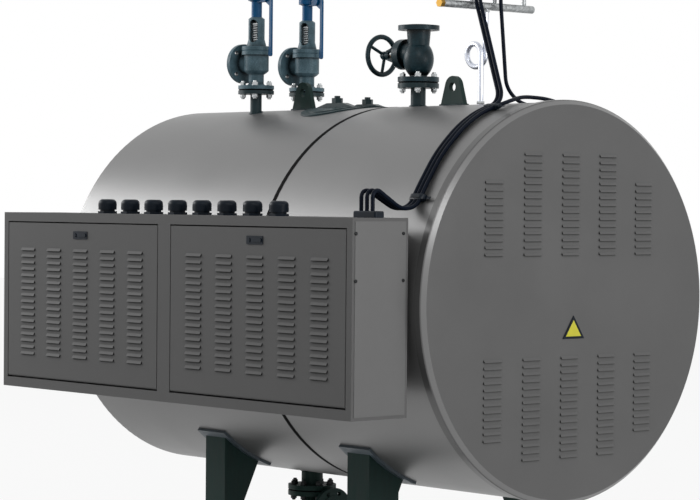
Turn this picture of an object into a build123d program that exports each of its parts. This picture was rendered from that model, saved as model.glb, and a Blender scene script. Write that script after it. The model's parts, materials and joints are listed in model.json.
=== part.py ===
from build123d import *
import os
from math import cos, radians, sin, sqrt, tan

# Horizontal electric steam boiler, in millimetres.
# +X runs to the louvred end, the cabinet hangs on the -Y side, the floor is at Z = 0,
# and the origin is the centre of the anchor holes, below the shell's axis.

# Shell
shell_radius = 750.0
shell_length = 2180.0
shell_wall = 80.0
axis_height = 1050.0
front_overhang = 642.0
leg_spacing = 868.0
band_x = 128.0
band_width = 20.0
band_proud = 1.0
seat_gap = 0.2

# End covers
cover_lap = 8.0
cover_depth = 47.0
cover_sheet = 6.0
cover_bevel = 17.0
cover_fit = 0.3
rear_cover_thickness = 14.0
rear_cover_round = 11.0
head_setback = 210.0
head_thickness = 14.0
head_dish = 90.0

# Pressed louvres, shared by the cover and the doors
louvre_length = 92.0
louvre_height = 11.0
louvre_throw = 6.0
louvre_skin = 1.6
louvre_pitch = 26.4
cover_column_pitch = 202.5
cover_long_rows = 15
cover_short_rows = 11
cover_lower_short_rows = 12
cover_upper_start = 182.0
cover_lower_start = -205.0
door_column_pitch = 180.0
door_columns = 5
door_rows = 17

# Legs
leg_width = 124.0
leg_outer_y = 480.0
leg_shoulder_y = 312.0
leg_ankle_y = 385.0
leg_shoulder_gap = 17.8
leg_ankle_share = 0.5428
pad_thickness = 10.0
pad_width = 172.0
pad_start_angle = 48.3
pad_end_angle = 70.0
foot_thickness = 14.0
foot_length = 220.0
foot_width = 126.0
foot_y = 432.0
anchor_spread = 172.0
anchor_hole_radius = 11.0
foot_corner = 8.0
leg_trim = 60.0

# Cabinet
cabinet_standoff = 14.0
cabinet_depth = 266.0
cabinet_rear_reach = 44.0
cabinet_front_setback = 70.0
cabinet_below_axis = 399.0
cabinet_above_axis = 314.0
cabinet_sheet = 3.0
end_panel_thickness = 2.0
end_panel_margin = 12.0
frame_side = 36.0
frame_top = 41.0
frame_bottom = 43.0
mullion_width = 86.0
jamb_depth = 24.0
door_gap = 5.0
door_skin = 2.5
door_depth = 16.0
hinge_inset = 8.0
hinge_pin_radius = 4.0
hinge_pin_fit = 0.1
hinge_pin_length = 22.0
hinge_end_play = 2.0
rail_height = 17.0
door_louvre_shift = -4.0
latch_length = 93.0
latch_height = 31.0
latch_plate = 3.0
latch_drop = 46.0
latch_corner = 4.0
gland_count = 8
gland_pitch = 151.7
gland_row_shift = -13.0
gland_radius = 38.0
gland_height = 57.0
gland_base = 9.0
gland_waist = 6.0
gland_dome = 17.0
entry_inset = 66.0
entry_length = 120.0
entry_width = 46.0
entry_height = 24.0
entry_corner = 8.0
saddle_rear_inset = 108.0
saddle_front_inset = 80.0
saddle_bottom_inset = 128.0
saddle_top_inset = 54.0
saddle_sheet = 6.0

# Pipe flanges: outer radius, raised face radius, bolt circle radius, bolt hole radius, count, thickness
flange_40 = dict(outer=75.0, face=44.0, pitch=55.0, hole=9.0, count=4, thickness=18.0)
flange_50 = dict(outer=82.5, face=51.0, pitch=62.5, hole=9.0, count=4, thickness=22.0)
flange_80 = dict(outer=100.0, face=69.0, pitch=80.0, hole=9.0, count=8, thickness=22.0)
flange_raise = 3.0
pipe_40 = 24.0
pipe_50 = 30.0
pipe_80 = 44.5
bore_50 = 25.0
bore_80 = 40.0

# Safety valves
safety_x = -604.0
safety_y = 140.0
safety_joint_rise = 83.0
safety_neck_radius = 32.0
safety_chamber_radius = 52.0
safety_chamber_bottom = 72.0
safety_chamber_top = 146.0
safety_flange_radius = 61.0
safety_flange_thickness = 18.0
safety_outlet_height = 112.0
safety_outlet_reach = 98.0
safety_outlet_radius = 38.0
safety_outlet_bore = 60.0
safety_blend = 8.0
safety_groove = 2.5
bonnet_height = 140.0
bonnet_base_radius = 42.0
bonnet_top_radius = 34.0
bonnet_wall = 7.0
bonnet_bore = 26.0
bonnet_taper = 48.0
window_width = 37.0
window_bottom = 34.0
window_top = 129.0
window_turn = 25.0
spring_radius = 22.0
spring_wire = 7.0
spring_turns = 8
spindle_radius = 6.0
cap_radius = 22.0
cap_height = 70.0
head_radius = 37.0
head_height = 24.0
dome_height = 10.0
head_lip = 6.0
lever_pivot_drop = 3.0
lever_pivot_x = 60.0
lever_thickness = 9.0
lever_bar_x = 93.0
lever_waist = 14.0
lever_foot = 21.0
lever_foot_length = 66.0
lever_bar_end = 236.0
lever_boss = 17.0
lever_pin_radius = 6.0
lever_pin_fit = 0.1
lever_side_gap = 1.0
ear_thickness = 8.0

# Steam stop valve
steam_x = 238.0
steam_joint_rise = 95.0
steam_face_to_face = 230.0
steam_inlet_neck = 35.0
steam_outlet_neck = 43.0
steam_outlet_flare = 48.0
steam_bulb_radius = 61.0
steam_branch_radius = 47.0
steam_branch_flange = 61.0
steam_branch_reach = 80.0
steam_branch_thickness = 17.0
steam_bulb_bottom = 28.0
steam_bulb_top = 148.0
steam_bore_depth = 60.0
yoke_neck_length = 42.0
yoke_neck_radius = 46.0
yoke_neck_taper = 28.0
yoke_end = 183.0
yoke_hub_length = 20.0
yoke_hub_radius = 18.0
yoke_arm_thickness = 12.0
yoke_arm_width = 20.0
yoke_foot_spread = 46.0
stem_radius = 9.0
stem_fit = 0.1
stem_tip = 213.0
stem_seat = 4.0
wheel_rim_x = 217.0
wheel_rim_radius = 76.0
wheel_rim_wire = 10.0
wheel_hub_x = 199.0
wheel_hub_radius = 17.0
wheel_hub_length = 18.0
wheel_spoke_radius = 6.5
wheel_spokes = 3
wheel_spoke_turn = 30.0

# Lifting lugs
lug_front_offset = 9.0
lug_rear_offset = -23.0
lug_base = 138.0
lug_height = 116.0
lug_crown_radius = 42.0
lug_thickness = 20.0
lug_hole_radius = 18.0
lug_hole_height = 72.0
lug_lean = 12.0
lug_root = 10.0

# Manhole
manhole_x = -154.0
manhole_half_length = 165.0
manhole_half_width = 240.0
manhole_rim = 34.0
manhole_ring_rise = 6.0
manhole_cover_rise = 9.0
manhole_gap = 0.3
bridge_y = 83.0
bridge_length = 224.0
bridge_width = 34.0
bridge_height = 16.0
stud_radius = 12.0
stud_tip = 9.0
nut_across = 40.0
nut_height = 20.0
bridge_flat = 46.0

# Pressure manifold
siphon_setback = 473.0
siphon_pipe_radius = 10.5
siphon_loop_radius = 44.0
siphon_loop_rise = 192.0
siphon_shift = 12.0
siphon_sides = 8
siphon_root = 30.0
manifold_rise = 381.0
manifold_radius = 15.0
manifold_near_y = -220.0
manifold_far_y = 268.0
manifold_plug_length = 19.0
plug_length = 16.0
plug_across = 30.0
nipple_radius = 9.0
nipple_height = 46.0
switch_near_y = -65.0
switch_far_y = 59.0
gauge_y = 221.0
switch_length = 74.0
switch_width = 52.0
switch_height = 96.0
gauge_radius = 50.0
gauge_depth = 38.0
gauge_bezel = 6.0
switch_corner = 8.0
switch_forward = 20.0
switch_gland_x = 34.0
switch_gland_wall = 3.0
switch_gland_length = 20.0

# Signal cables
cable_radius = 7.5
cable_spacing = 19.0
cable_lift = 3.5
cable_entry_inset = 75.0
cable_entry_pitch = 30.0
cable_rise = 90.0
cable_sag_gap = 2.0
cable_sag_rise = 30.0
bundle_low_setback = 139.0
bundle_high_setback = 200.0
bundle_low_angle = 30.5
bundle_high_angle = 73.0
crossing_setbacks = (207.0, 214.0, 228.0, 290.0, 370.0, 424.0)
crossing_angles = (86.0, 97.0, 107.0, 111.0, 108.0, 101.0)
crossing_lift = 9.0
crossing_rise = 70.0
crossing_bow = 34.0
tie_width = 12.0
tie_thickness = 3.0
tie_fit = 0.3
switch_gland_spread = 22.0

# Blow-down
drain_offset = 48.0
drain_joint_drop = 81.0
drain_bend_radius = 62.0
drain_run = 78.0

# Places worked out from the sizes above
front_x = leg_spacing / 2 + front_overhang
rear_x = front_x - shell_length
shell_front_end = front_x - cover_bevel - cover_sheet
shell_rear_end = rear_x + rear_cover_thickness
crown_z = axis_height + shell_radius
pad_radius = shell_radius + seat_gap + pad_thickness
cover_radius = shell_radius + cover_lap
shell_axis = Axis((0, 0, axis_height), (1, 0, 0))
axis_plane = Plane(origin=(0, 0, axis_height), x_dir=(1, 0, 0), z_dir=(0, -1, 0))
leg_shoulder_z = axis_height - sqrt(pad_radius**2 - leg_shoulder_y**2) - leg_shoulder_gap
leg_ankle_z = leg_ankle_share * leg_shoulder_z
cabinet_back_y = -(shell_radius + cabinet_standoff)
cabinet_front_y = cabinet_back_y - cabinet_depth
cabinet_left_x = rear_x - cabinet_rear_reach
cabinet_right_x = front_x - cabinet_front_setback
cabinet_bottom_z = axis_height - cabinet_below_axis
cabinet_top_z = axis_height + cabinet_above_axis
door_width = (cabinet_right_x - cabinet_left_x - 2 * frame_side - mullion_width) / 2
door_bottom_z = cabinet_bottom_z + frame_bottom
door_top_z = cabinet_top_z - frame_top
door_height = door_top_z - door_bottom_z
door_left_x = cabinet_left_x + frame_side + door_width / 2
door_right_x = cabinet_right_x - frame_side - door_width / 2
door_middle_z = (door_bottom_z + door_top_z) / 2
box_left_x = cabinet_left_x + end_panel_thickness
box_right_x = cabinet_right_x - end_panel_thickness
cabinet_length = box_right_x - box_left_x
cabinet_middle_x = (box_left_x + box_right_x) / 2
cabinet_middle_y = (cabinet_front_y + cabinet_back_y) / 2
cabinet_middle_z = (cabinet_bottom_z + cabinet_top_z) / 2
cabinet_height = cabinet_top_z - cabinet_bottom_z
gland_row_x = cabinet_middle_x + gland_row_shift
entry_x = cabinet_right_x - entry_inset
saddle_left_x = cabinet_left_x + saddle_rear_inset
saddle_right_x = cabinet_right_x - saddle_front_inset
saddle_bottom_z = cabinet_bottom_z + saddle_bottom_inset
saddle_top_z = cabinet_top_z - saddle_top_inset
safety_joint_z = crown_z + safety_joint_rise
steam_joint_z = crown_z + steam_joint_rise
steam_axis_z = steam_joint_z + steam_face_to_face / 2
siphon_x = front_x - siphon_setback
siphon_loop_z = crown_z + siphon_loop_rise
manifold_z = crown_z + manifold_rise
drain_x = drain_offset - leg_spacing / 2
drain_joint_z = axis_height - shell_radius - drain_joint_drop
bonnet_joint_z = safety_joint_z + safety_chamber_top + safety_flange_thickness
bonnet_top_z = bonnet_joint_z + bonnet_height
lever_pivot_z = bonnet_top_z + cap_height + head_height / 2 - lever_pivot_drop

os.makedirs("parts", exist_ok=True)


def write(part, name):
    """Label a finished piece and save it."""
    part.label = name
    export_step(part, f"parts/{name}.step")


def shell_surface(y):
    """Height of the shell's top surface at a distance y from its axis."""
    return axis_height + sqrt(shell_radius**2 - y**2)


def shell_cut(extra):
    """Remove what reaches inside the shell, with a little room for the weld."""
    with Locations((0, 0, axis_height)):
        Cylinder(shell_radius + extra, 2 * shell_length, rotation=(0, 90, 0), mode=Mode.SUBTRACT)


def pipe_flange(face, size):
    """Drilled pipe flange behind its joint plane, with a raised face inside the bolt circle."""
    with BuildSketch(face.offset(flange_raise)) as plate:
        Circle(size["outer"])
        with PolarLocations(size["pitch"], size["count"], start_angle=180 / size["count"]):
            Circle(size["hole"], mode=Mode.SUBTRACT)
    extrude(plate.sketch, amount=size["thickness"] - flange_raise)
    with BuildSketch(face) as seat:
        Circle(size["face"])
    extrude(seat.sketch, amount=flange_raise)


def louvres(planes, skin):
    """Press louvres into a sheet: a sloping hood over a slot that opens downwards."""
    top = louvre_height / 2
    slope_shift = louvre_skin * sqrt(louvre_height**2 + louvre_throw**2) / louvre_height
    slot_top = top - slope_shift * louvre_height / louvre_throw
    slot_drop = top + louvre_skin / 2
    slot_mouth = louvre_throw * (top + slot_drop) / louvre_height - slope_shift
    with BuildSketch(*planes) as hoods:
        with BuildLine():
            Polyline(
                (-skin / 2, top), (0, top), (louvre_throw, -top), (-skin / 2, -top), close=True
            )
        make_face()
    extrude(hoods.sketch, amount=-louvre_length)
    with BuildSketch(*[plane.offset(-louvre_skin) for plane in planes]) as slots:
        with BuildLine():
            Polyline(
                (-2 * skin, slot_top),
                (0, slot_top),
                (slot_mouth, -slot_drop),
                (-2 * skin, -slot_drop),
                close=True,
            )
        make_face()
    extrude(slots.sketch, amount=2 * louvre_skin - louvre_length, mode=Mode.SUBTRACT)


def dome_drop(radius, rise):
    """How far a dome has fallen halfway out to its rim."""
    sphere = (radius**2 + rise**2) / (2 * rise)
    return sphere - sqrt(sphere**2 - radius**2 / 4)


def rounded_path(points):
    """Runs joined by tangent arcs as large as the shorter run allows."""
    knots = [Vector(*point) for point in points]
    radii = []
    for before, here, after in zip(knots, knots[1:], knots[2:]):
        turn = radians((here - before).get_angle(after - here))
        shorter = min((here - before).length, (after - here).length)
        radii.append(0.45 * shorter / tan(turn / 2))
    FilletPolyline(*points, radius=radii)


# Rear half of the lagged shell, open at the top below the manhole
with BuildPart() as shell_rear:
    with BuildSketch(Plane.YZ.offset(shell_rear_end)):
        with Locations((0, axis_height)):
            Circle(shell_radius)
            Circle(shell_radius - shell_wall, mode=Mode.SUBTRACT)
    extrude(amount=band_x - band_width / 2 - shell_rear_end)
    with BuildSketch(Plane.XY.offset(axis_height)):
        with Locations((manhole_x, 0)):
            Ellipse(manhole_half_length - manhole_rim, manhole_half_width - manhole_rim)
    extrude(amount=shell_radius + manhole_rim, mode=Mode.SUBTRACT)
write(shell_rear.part, "shell_rear")

# Front half of the lagged shell
with BuildPart() as shell_front:
    with BuildSketch(Plane.YZ.offset(band_x + band_width / 2)):
        with Locations((0, axis_height)):
            Circle(shell_radius)
            Circle(shell_radius - shell_wall, mode=Mode.SUBTRACT)
    extrude(amount=shell_front_end - band_x - band_width / 2)
write(shell_front.part, "shell_front")

# Dark sealing band between the two halves
with BuildPart() as joint_band:
    with BuildSketch(Plane.YZ.offset(band_x - band_width / 2)):
        with Locations((0, axis_height)):
            Circle(shell_radius + band_proud)
            Circle(shell_radius - shell_wall, mode=Mode.SUBTRACT)
    extrude(amount=band_width)
write(joint_band.part, "joint_band")

# Dished drum end behind the louvred cover
with BuildPart() as front_head:
    head_x = front_x - head_setback
    head_rim = shell_radius - shell_wall - seat_gap
    with BuildSketch(axis_plane):
        with BuildLine():
            Line((head_x - head_dish, head_rim), (head_x - head_dish - head_thickness, head_rim))
            ThreePointArc(
                (head_x - head_dish - head_thickness, head_rim),
                (head_x - dome_drop(head_rim, head_dish) - head_thickness, head_rim / 2),
                (head_x - head_thickness, 0),
            )
            Line((head_x - head_thickness, 0), (head_x, 0))
            ThreePointArc(
                (head_x, 0),
                (head_x - dome_drop(head_rim, head_dish), head_rim / 2),
                (head_x - head_dish, head_rim),
            )
        make_face()
    revolve(axis=shell_axis)
write(front_head.part, "front_head")

# Louvred front cover: a pan that slips over the shell's end, with a bevelled rim
with BuildPart() as front_cover:
    skirt_inside = shell_radius + cover_fit
    skirt_start = front_x - cover_depth
    with BuildSketch(axis_plane):
        with BuildLine():
            Polyline(
                (skirt_start, skirt_inside),
                (skirt_start, cover_radius),
                (front_x - cover_bevel, cover_radius),
                (front_x, cover_radius - cover_bevel),
                (front_x, 0),
                (front_x - cover_sheet, 0),
                (front_x - cover_sheet, cover_radius - cover_bevel - cover_sheet / 2),
                (front_x - cover_bevel - cover_sheet / 2, skirt_inside),
                close=True,
            )
        make_face()
    revolve(axis=shell_axis)
    louvre_places = []
    for column in range(-2, 3):
        across = column * cover_column_pitch
        upper_rows = cover_long_rows if abs(column) < 2 else cover_short_rows
        lower_rows = cover_long_rows if abs(column) < 2 else cover_lower_short_rows
        for row in range(upper_rows):
            louvre_places.append((across, cover_upper_start + row * louvre_pitch))
        for row in range(lower_rows):
            louvre_places.append((across, cover_lower_start - row * louvre_pitch))
    hood_planes = [
        Plane(
            origin=(front_x, across - louvre_length / 2, axis_height + height),
            x_dir=(1, 0, 0),
            z_dir=(0, -1, 0),
        )
        for across, height in louvre_places
    ]
    louvres(hood_planes, cover_sheet)
write(front_cover.part, "front_cover")

# Plain rear cover with a rolled edge
with BuildPart() as rear_cover:
    with BuildSketch(Plane.YZ.offset(rear_x)):
        with Locations((0, axis_height)):
            Circle(shell_radius)
    extrude(amount=rear_cover_thickness)
    fillet(rear_cover.faces().sort_by(Axis.X)[0].edges(), rear_cover_round)
write(rear_cover.part, "rear_cover")

# Curved wear pads between the shell and the legs
leg_places = (-leg_spacing / 2, leg_spacing / 2)
pad_sweep = pad_end_angle - pad_start_angle
with BuildPart() as leg_pads:
    for leg_x in leg_places:
        for start in (180 + pad_start_angle, -pad_end_angle):
            with BuildSketch(Plane.YZ.offset(leg_x - pad_width / 2)):
                with BuildLine():
                    inner = CenterArc((0, axis_height), shell_radius + seat_gap, start, pad_sweep)
                    outer = CenterArc((0, axis_height), pad_radius, start, pad_sweep)
                    Line(inner @ 0, outer @ 0)
                    Line(inner @ 1, outer @ 1)
                make_face()
            extrude(amount=pad_width)
write(leg_pads.part, "leg_pads")

# Box legs: upright outside, sloping inside, trimmed to the pads
with BuildPart() as support_legs:
    leg_slope = (leg_ankle_y - leg_shoulder_y) / (leg_shoulder_z - leg_ankle_z)
    trim_y = leg_shoulder_y - leg_slope * leg_trim
    outer_top = axis_height - sqrt(shell_radius**2 - leg_outer_y**2) + leg_trim
    for leg_x in leg_places:
        for side in (-1, 1):
            with BuildSketch(Plane.YZ.offset(leg_x - leg_width / 2)):
                with BuildLine():
                    Polyline(
                        (side * leg_outer_y, foot_thickness),
                        (side * leg_outer_y, outer_top),
                        (side * trim_y, leg_shoulder_z + leg_trim),
                        (side * leg_ankle_y, leg_ankle_z),
                        (side * leg_ankle_y, foot_thickness),
                        close=True,
                    )
                make_face()
            extrude(amount=leg_width)
    with Locations((0, 0, axis_height)):
        Cylinder(pad_radius, 2 * shell_length, rotation=(0, 90, 0), mode=Mode.SUBTRACT)
write(support_legs.part, "support_legs")

# Foot plates, each with an anchor hole on both sides of its leg
with BuildPart() as foot_plates:
    with BuildSketch():
        with GridLocations(leg_spacing, 2 * foot_y, 2, 2):
            RectangleRounded(foot_length, foot_width, foot_corner)
            with GridLocations(anchor_spread, 0, 2, 1):
                Circle(anchor_hole_radius, mode=Mode.SUBTRACT)
    extrude(amount=foot_thickness)
write(foot_plates.part, "foot_plates")

# Sheet-metal cabinet: closed box, with two door openings and their folded jambs
front_plane = Plane.XZ.offset(-cabinet_front_y)
opening_width = door_width + 2 * door_gap
opening_height = door_height + 2 * door_gap
door_places = [(door_left_x, door_middle_z), (door_right_x, door_middle_z)]
with BuildPart() as cabinet_shell:
    with Locations((cabinet_middle_x, cabinet_middle_y, cabinet_middle_z)):
        Box(cabinet_length, cabinet_depth, cabinet_height)
        Box(
            cabinet_length - 2 * cabinet_sheet,
            cabinet_depth - 2 * cabinet_sheet,
            cabinet_height - 2 * cabinet_sheet,
            mode=Mode.SUBTRACT,
        )
    with BuildSketch(front_plane):
        with Locations(*door_places):
            Rectangle(opening_width + 2 * cabinet_sheet, opening_height + 2 * cabinet_sheet)
    extrude(amount=-jamb_depth)
    with BuildSketch(front_plane):
        with Locations(*door_places):
            Rectangle(opening_width, opening_height)
    extrude(amount=-jamb_depth, mode=Mode.SUBTRACT)
write(cabinet_shell.part, "cabinet_shell")

# Screwed end panels of the cabinet
with BuildPart() as end_panels:
    for panel_x in (cabinet_left_x, box_right_x):
        with BuildSketch(Plane.YZ.offset(panel_x)):
            with Locations((cabinet_middle_y, cabinet_middle_z)):
                Rectangle(cabinet_depth - 2 * end_panel_margin, cabinet_height - 2 * end_panel_margin)
        extrude(amount=end_panel_thickness)
write(end_panels.part, "end_panels")

# Frame that carries the cabinet on the shell's side
with BuildPart() as cabinet_saddle:
    saddle_middle = ((saddle_left_x + saddle_right_x) / 2, (saddle_bottom_z + saddle_top_z) / 2)
    saddle_length = saddle_right_x - saddle_left_x
    saddle_height = saddle_top_z - saddle_bottom_z
    with BuildSketch(Plane.XZ.offset(-cabinet_back_y)):
        with Locations(saddle_middle):
            Rectangle(saddle_length, saddle_height)
            Rectangle(saddle_length - 2 * saddle_sheet, saddle_height - 2 * saddle_sheet, mode=Mode.SUBTRACT)
    extrude(amount=cabinet_back_y)
    shell_cut(band_proud + seat_gap)
write(cabinet_saddle.part, "cabinet_saddle")

# Hinge pins in the lower corners of the door openings
hinge_y = cabinet_front_y + hinge_inset
hinge_z = door_bottom_z + hinge_inset
with BuildPart() as hinge_pins:
    for door_x in (door_left_x, door_right_x):
        for side in (-1, 1):
            with BuildSketch(Plane.YZ.offset(door_x + side * opening_width / 2)):
                with Locations((hinge_y, hinge_z)):
                    Circle(hinge_pin_radius)
            extrude(amount=-side * (door_gap + hinge_pin_length))
write(hinge_pins.part, "hinge_pins")

# Drop-down louvred doors: folded pans with a solid lower rail on the hinge pins
for name, door_x in (("left", door_left_x), ("right", door_right_x)):
    with BuildPart() as door:
        with BuildSketch(front_plane):
            with Locations((door_x, door_middle_z)):
                Rectangle(door_width, door_height)
        extrude(amount=-door_depth)
        with BuildSketch(front_plane.offset(-door_skin)):
            with Locations((door_x, door_middle_z + (rail_height - door_skin) / 2)):
                Rectangle(door_width - 2 * door_skin, door_height - rail_height - door_skin)
        extrude(amount=-door_depth, mode=Mode.SUBTRACT)
        fillet(door.edges().filter_by(Axis.X).group_by(Axis.Z)[0], hinge_inset - hinge_pin_fit)
        socket_places = [(door_x + side * door_width / 2, hinge_y, hinge_z) for side in (-1, 1)]
        with Locations(*socket_places):
            Cylinder(
                hinge_pin_radius + hinge_pin_fit,
                2 * (hinge_pin_length + hinge_end_play),
                rotation=(0, 90, 0),
                mode=Mode.SUBTRACT,
            )
        hood_planes = []
        for column in range(door_columns):
            for row in range(door_rows):
                hood_x = door_x + (column - (door_columns - 1) / 2) * door_column_pitch - louvre_length / 2
                hood_z = door_middle_z + door_louvre_shift + ((door_rows - 1) / 2 - row) * louvre_pitch
                hood_planes.append(
                    Plane(origin=(hood_x, cabinet_front_y, hood_z), x_dir=(0, -1, 0), z_dir=(-1, 0, 0))
                )
        louvres(hood_planes, door_skin)
    write(door.part, f"door_{name}")

    # Flush lock at the top of the door
    latch_z = door_top_z - latch_drop
    with BuildPart() as latch:
        with BuildSketch(front_plane):
            with Locations((door_x, latch_z)):
                RectangleRounded(latch_length, latch_height, latch_corner)
        extrude(amount=latch_plate)
        with BuildSketch(front_plane.offset(latch_plate)):
            with Locations((door_x + latch_length / 8, latch_z)):
                SlotOverall(latch_length * 0.62, latch_height / 2)
            with Locations((door_x - latch_length * 0.34, latch_z)):
                Circle(latch_height / 4)
        extrude(amount=latch_plate)
    write(latch.part, f"latch_{name}")

# Blanked cable glands along the cabinet's top
with BuildPart() as cable_glands:
    gland_places = [
        (gland_row_x + (index - (gland_count - 1) / 2) * gland_pitch, cabinet_middle_y)
        for index in range(gland_count)
    ]
    with BuildSketch(Plane.XY.offset(cabinet_top_z)):
        with Locations(*gland_places):
            RegularPolygon(gland_radius, 6)
    extrude(amount=gland_base)
    with BuildSketch(Plane.XY.offset(cabinet_top_z + gland_base)):
        with Locations(*gland_places):
            Circle(gland_radius - 1.4 * gland_waist)
    extrude(amount=gland_waist)
    with BuildSketch(Plane.XY.offset(cabinet_top_z + gland_base + gland_waist)):
        with Locations(*gland_places):
            Circle(gland_radius - gland_waist / 4)
    extrude(amount=gland_height - gland_base - gland_waist)
    fillet(cable_glands.faces().group_by(Axis.Z)[-1].edges(), gland_dome)
write(cable_glands.part, "cable_glands")

# Entry frame for the signal cables
with BuildPart() as cable_entry:
    with BuildSketch(Plane.XY.offset(cabinet_top_z)):
        with Locations((entry_x, cabinet_middle_y)):
            RectangleRounded(entry_length, entry_width, entry_corner)
    extrude(amount=entry_height)
    chamfer(cable_entry.faces().sort_by(Axis.Z)[-1].edges(), entry_corner / 2)
write(cable_entry.part, "cable_entry")

# Safety valves, one on each side of the crown, outlets to the rear and levers to the front
with BuildPart() as safety_valve_stubs:
    stub_places = [(safety_x, -safety_y), (safety_x, safety_y)]
    for stub_x, stub_y in stub_places:
        pipe_flange(Plane(origin=(stub_x, stub_y, safety_joint_z), z_dir=(0, 0, -1)), flange_40)
    with BuildSketch(Plane.XY.offset(crown_z - shell_wall)):
        with Locations(*stub_places):
            Circle(pipe_40)
    extrude(amount=safety_joint_z - flange_40["thickness"] - crown_z + shell_wall)
    shell_cut(seat_gap)
write(safety_valve_stubs.part, "safety_valve_stubs")

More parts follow.
